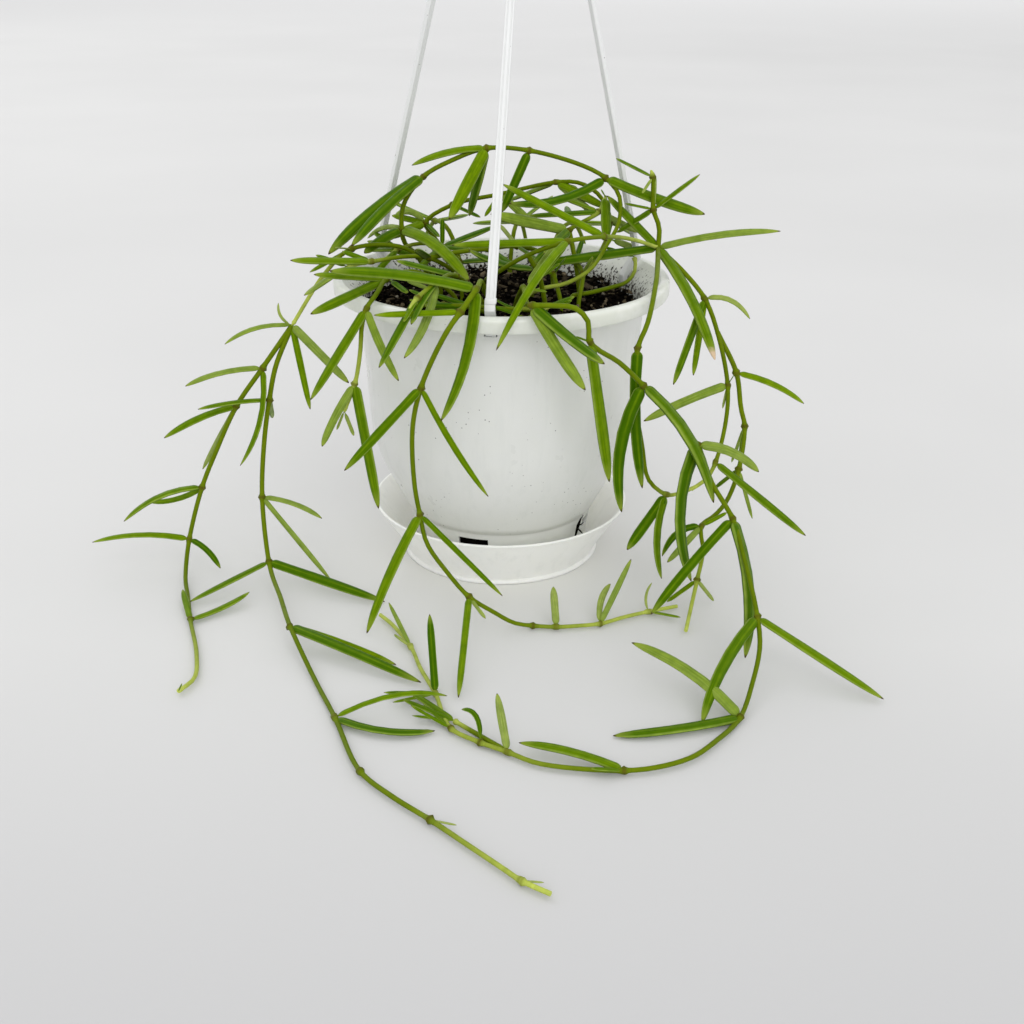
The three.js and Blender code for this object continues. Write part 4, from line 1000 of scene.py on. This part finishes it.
def curvePoint(places, position):
    # A smooth curve through every joint; position counts joints and parts of a joint
    last = len(places) - 1
    index = min(int(position), last - 1)
    t = position - index
    b, c = places[index], places[index + 1]
    a = places[index - 1] if index > 0 else 2 * b - c
    d = places[index + 2] if index + 2 <= last else 2 * c - b
    gapA, gapB, gapC = (max(1e-4, (q - p).length) ** 0.5 for p, q in ((a, b), (b, c), (c, d)))
    leave = ((b - a) / gapA - (c - a) / (gapA + gapB) + (c - b) / gapB) * gapB
    arrive = ((c - b) / gapB - (d - b) / (gapB + gapC) + (d - c) / gapC) * gapB
    return (b + leave * t + (-3 * b + 3 * c - 2 * leave - arrive) * t * t
            + (2 * b - 2 * c + leave + arrive) * t ** 3)


def makeStem(strand, tip):
    places = [Vector(row[:3]) for row in strand]
    knobs = [Vector(row[:3]) for row in strand if row[3:] or row in bareKnobs]
    points, shares, swells = [], [], []
    last = len(places) - 1
    for index in range(last):
        steps = max(2, int((places[index + 1] - places[index]).length / stemSizes["sample"]))
        for k in range(steps):
            point = curvePoint(places, index + k / steps)
            near = min(((point - knob).length for knob in knobs), default=math.inf)
            gap = stemSizes["fineStep"] if near < stemSizes["fineWithin"] else stemSizes["step"]
            if not points or (point - points[-1]).length >= gap:
                points.append(point)
                shares.append((index + k / steps) / last)
                swells.append(math.exp(-(near / stemSizes["knobReach"]) ** 2))
    points.append(places[-1])
    shares.append(1.0)
    swells.append(0.0)
    old, young = stemSizes["old"], stemSizes["young"]
    radii = [old + (young - old) * share + stemSizes["knob"] * swell for share, swell in zip(shares, swells)]
    if tip:
        radii[-1] = stemSizes["tip"]
    stem = tubeAlong(points, radii, stemSizes["sides"])
    tree = KDTree(len(points))
    for i, point in enumerate(points):
        tree.insert(point * mm, i)
    tree.balance()
    youth, knobby = [], []
    for corner in stem.data.vertices:
        centre, i, gap = tree.find(corner.co)
        youth.append(shares[i])
        knobby.append(swells[i])
        # Knobs are bumpy where roots will grow
        bump = stemSizes["knobBumps"] * swells[i] * noise.noise(corner.co * 1900)
        corner.co += (corner.co - centre) * bump
        corner.co.z = max(corner.co.z, leafSizes["clear"] * mm)
    setValues(stem, "stemYouth", youth)
    setValues(stem, "stemKnob", knobby)
    giveFinish(stem, stemSkin)
    return stem


def makeLeafShape():
    # One leaf along +X, 1 long and 1 wide: short stalk, blunt foot, even blade, pointed tip, grooved below
    stations = leafSizes["stations"]
    clearSelection()
    bpy.ops.mesh.primitive_circle_add(vertices=leafSizes["sides"], radius=0.5 * stations[0][1],
                                      fill_type="NGON", rotation=(0, math.pi / 2, 0))
    leaf = bpy.context.active_object
    settle()
    startEdit(leaf, "EDGE")
    along, width = stations[0]
    for nextAlong, nextWidth in stations[1:]:
        bpy.ops.mesh.extrude_edges_move(TRANSFORM_OT_translate={"value": (nextAlong - along, 0, 0)})
        share = nextWidth / width
        bpy.ops.transform.resize(value=(1, share, share), center_override=(nextAlong, 0, 0))
        along, width = nextAlong, nextWidth
    bpy.ops.mesh.edge_face_add()
    closeEdit()
    alongs, unders = [], []
    for corner in leaf.data.vertices:
        x, y, z = corner.co
        turn = math.degrees(math.atan2(z, y)) % 360
        alongs.append(x)
        unders.append(0.5 - 0.5 * math.sin(math.radians(turn)))
        if 70 < turn < 110:
            z *= leafSizes["top"]
        if 240 < turn < 300 and x > 0.06:
            z *= leafSizes["groove"]
        corner.co.z = z * leafSizes["flat"]
    setValues(leaf, "leafAlong", alongs)
    setValues(leaf, "leafUnder", unders)
    giveFinish(leaf, leafSkin)
    return leaf


leafShape = makeLeafShape()


def lightFrom(place):
    # Leaves turn their faces up, and out to the side of the pot that they hang on
    return Vector((place.x / 250, -0.6 if place.y < 45 else 0.6, 0.8)).normalized()


def makeLeaf(base, leaf, seed, widthShare):
    reach = Vector(leaf[:3])
    push = Vector(leaf[3:6]) if len(leaf) > 3 else Vector((0, 0, 0))
    length = reach.length
    vary = 1 + leafSizes["spread"] * (2 * seeded(seed + 0.5) - 1)
    width = min(leafSizes["most"], (leafSizes["base"] + leafSizes["perLength"] * length) * vary)
    width *= widthShare * ownWidthShares.get(seed, 1)
    width *= leafSizes["thin"] + (1 - leafSizes["thin"]) * min(1, length / leafSizes["thinTo"])
    nearFloor = base.z < 5 and base.z + leaf[2] < 6
    lean = 0 if nearFloor else math.radians(leafSizes["leanMost"] * (2 * seeded(seed) - 1))
    light = Vector((0, 0, 1)) if nearFloor else lightFrom(base)

    def middleAt(t):
        point = base + reach * t + push * 4 * t * (1 - t)
        above = leafSizes["tipClear"] if t > 0.95 else leafSizes["middleClear"]
        point.z = max(point.z, leafSizes["clear"] + above)
        return point

    footEnd = leafSizes["footEnd"]
    footShare = min(leafSizes["footMost"], leafSizes["footLength"] / length)
    overlap = leafSizes["overlap"] / length
    twist = 0 if nearFloor else math.radians(leafSizes["twist"]) * (2 * seeded(seed + 0.3) - 1)
    frames = {}
    mesh = leafShape.data.copy()
    for corner in mesh.vertices:
        x, y, z = corner.co
        key = round(x, 3)
        if key not in frames:
            if x < footEnd:
                t = x / footEnd * (footShare + overlap) - overlap
            else:
                t = footShare + (x - footEnd) / (1 - footEnd) * (1 - footShare)
            along = (middleAt(min(1, t + 0.03)) - middleAt(t - 0.03)).normalized()
            top = (light - along * light.dot(along)).normalized()
            side = top.cross(along)
            turn = Matrix.Rotation(lean + twist * (t - 0.4), 3, along)
            wave = 1 + leafSizes["wave"] * math.sin(9 * x + seed)
            frames[key] = (middleAt(t), turn @ side, turn @ top, width * wave)
        middle, side, top, wide = frames[key]
        place = middle + side * (y * wide) + top * (z * wide)
        place.z = max(place.z, leafSizes["clear"])
        corner.co = place * mm
    low, high = toneRanges["pale" if seed in paleLeaves else "dark" if seed in darkLeaves else "usual"]
    tone = low + (high - low) * seeded(seed + 0.7)
    young = 0.6 + 0.4 * seeded(seed + 0.9) if seed in youngLeaves else 0.0
    dry = 1.0 if seed in dryLeaves else 0.0
    return addCopy(leafShape, mesh, {"leafTone": tone, "leafYoung": young, "leafDry": dry})


def makeVine(name, strands, index):
    parts = []
    seed = index * 100
    for strand in strands:
        parts.append(makeStem(strand, strand[-1][2] > rootBottom))
        for row in strand:
            for leaf in row[3:]:
                seed += 1
                parts.append(makeLeaf(Vector(row[:3]), leaf, seed, stemWidthShares[index - 1]))
    for stem, base, leaf, number in crownLeaves:
        if stem == name:
            parts.append(makeLeaf(Vector(base), leaf, number, 1.0))
    finishPiece(joinPieces(parts), name + "Growth", (name,))


for number, (name, strands) in enumerate(vines.items(), 1):
    makeVine(name, strands, number)
bpy.data.objects.remove(leafShape)
print("plant done:", len(vines), "vines")


# The pale surface that the pot stands on

floorSizes = {"side": 60, "cuts": 20}


def makeFloor():
    clearSelection()
    bpy.ops.mesh.primitive_plane_add(size=floorSizes["side"], location=(0, 0, 0))
    floor = bpy.context.active_object
    startEdit(floor, "FACE")
    bpy.ops.mesh.subdivide(number_cuts=floorSizes["cuts"])
    closeEdit()
    floor.name = "paleFloor"
    giveFinish(floor, makeFloorFinish())


makeFloor()
print("floor done")
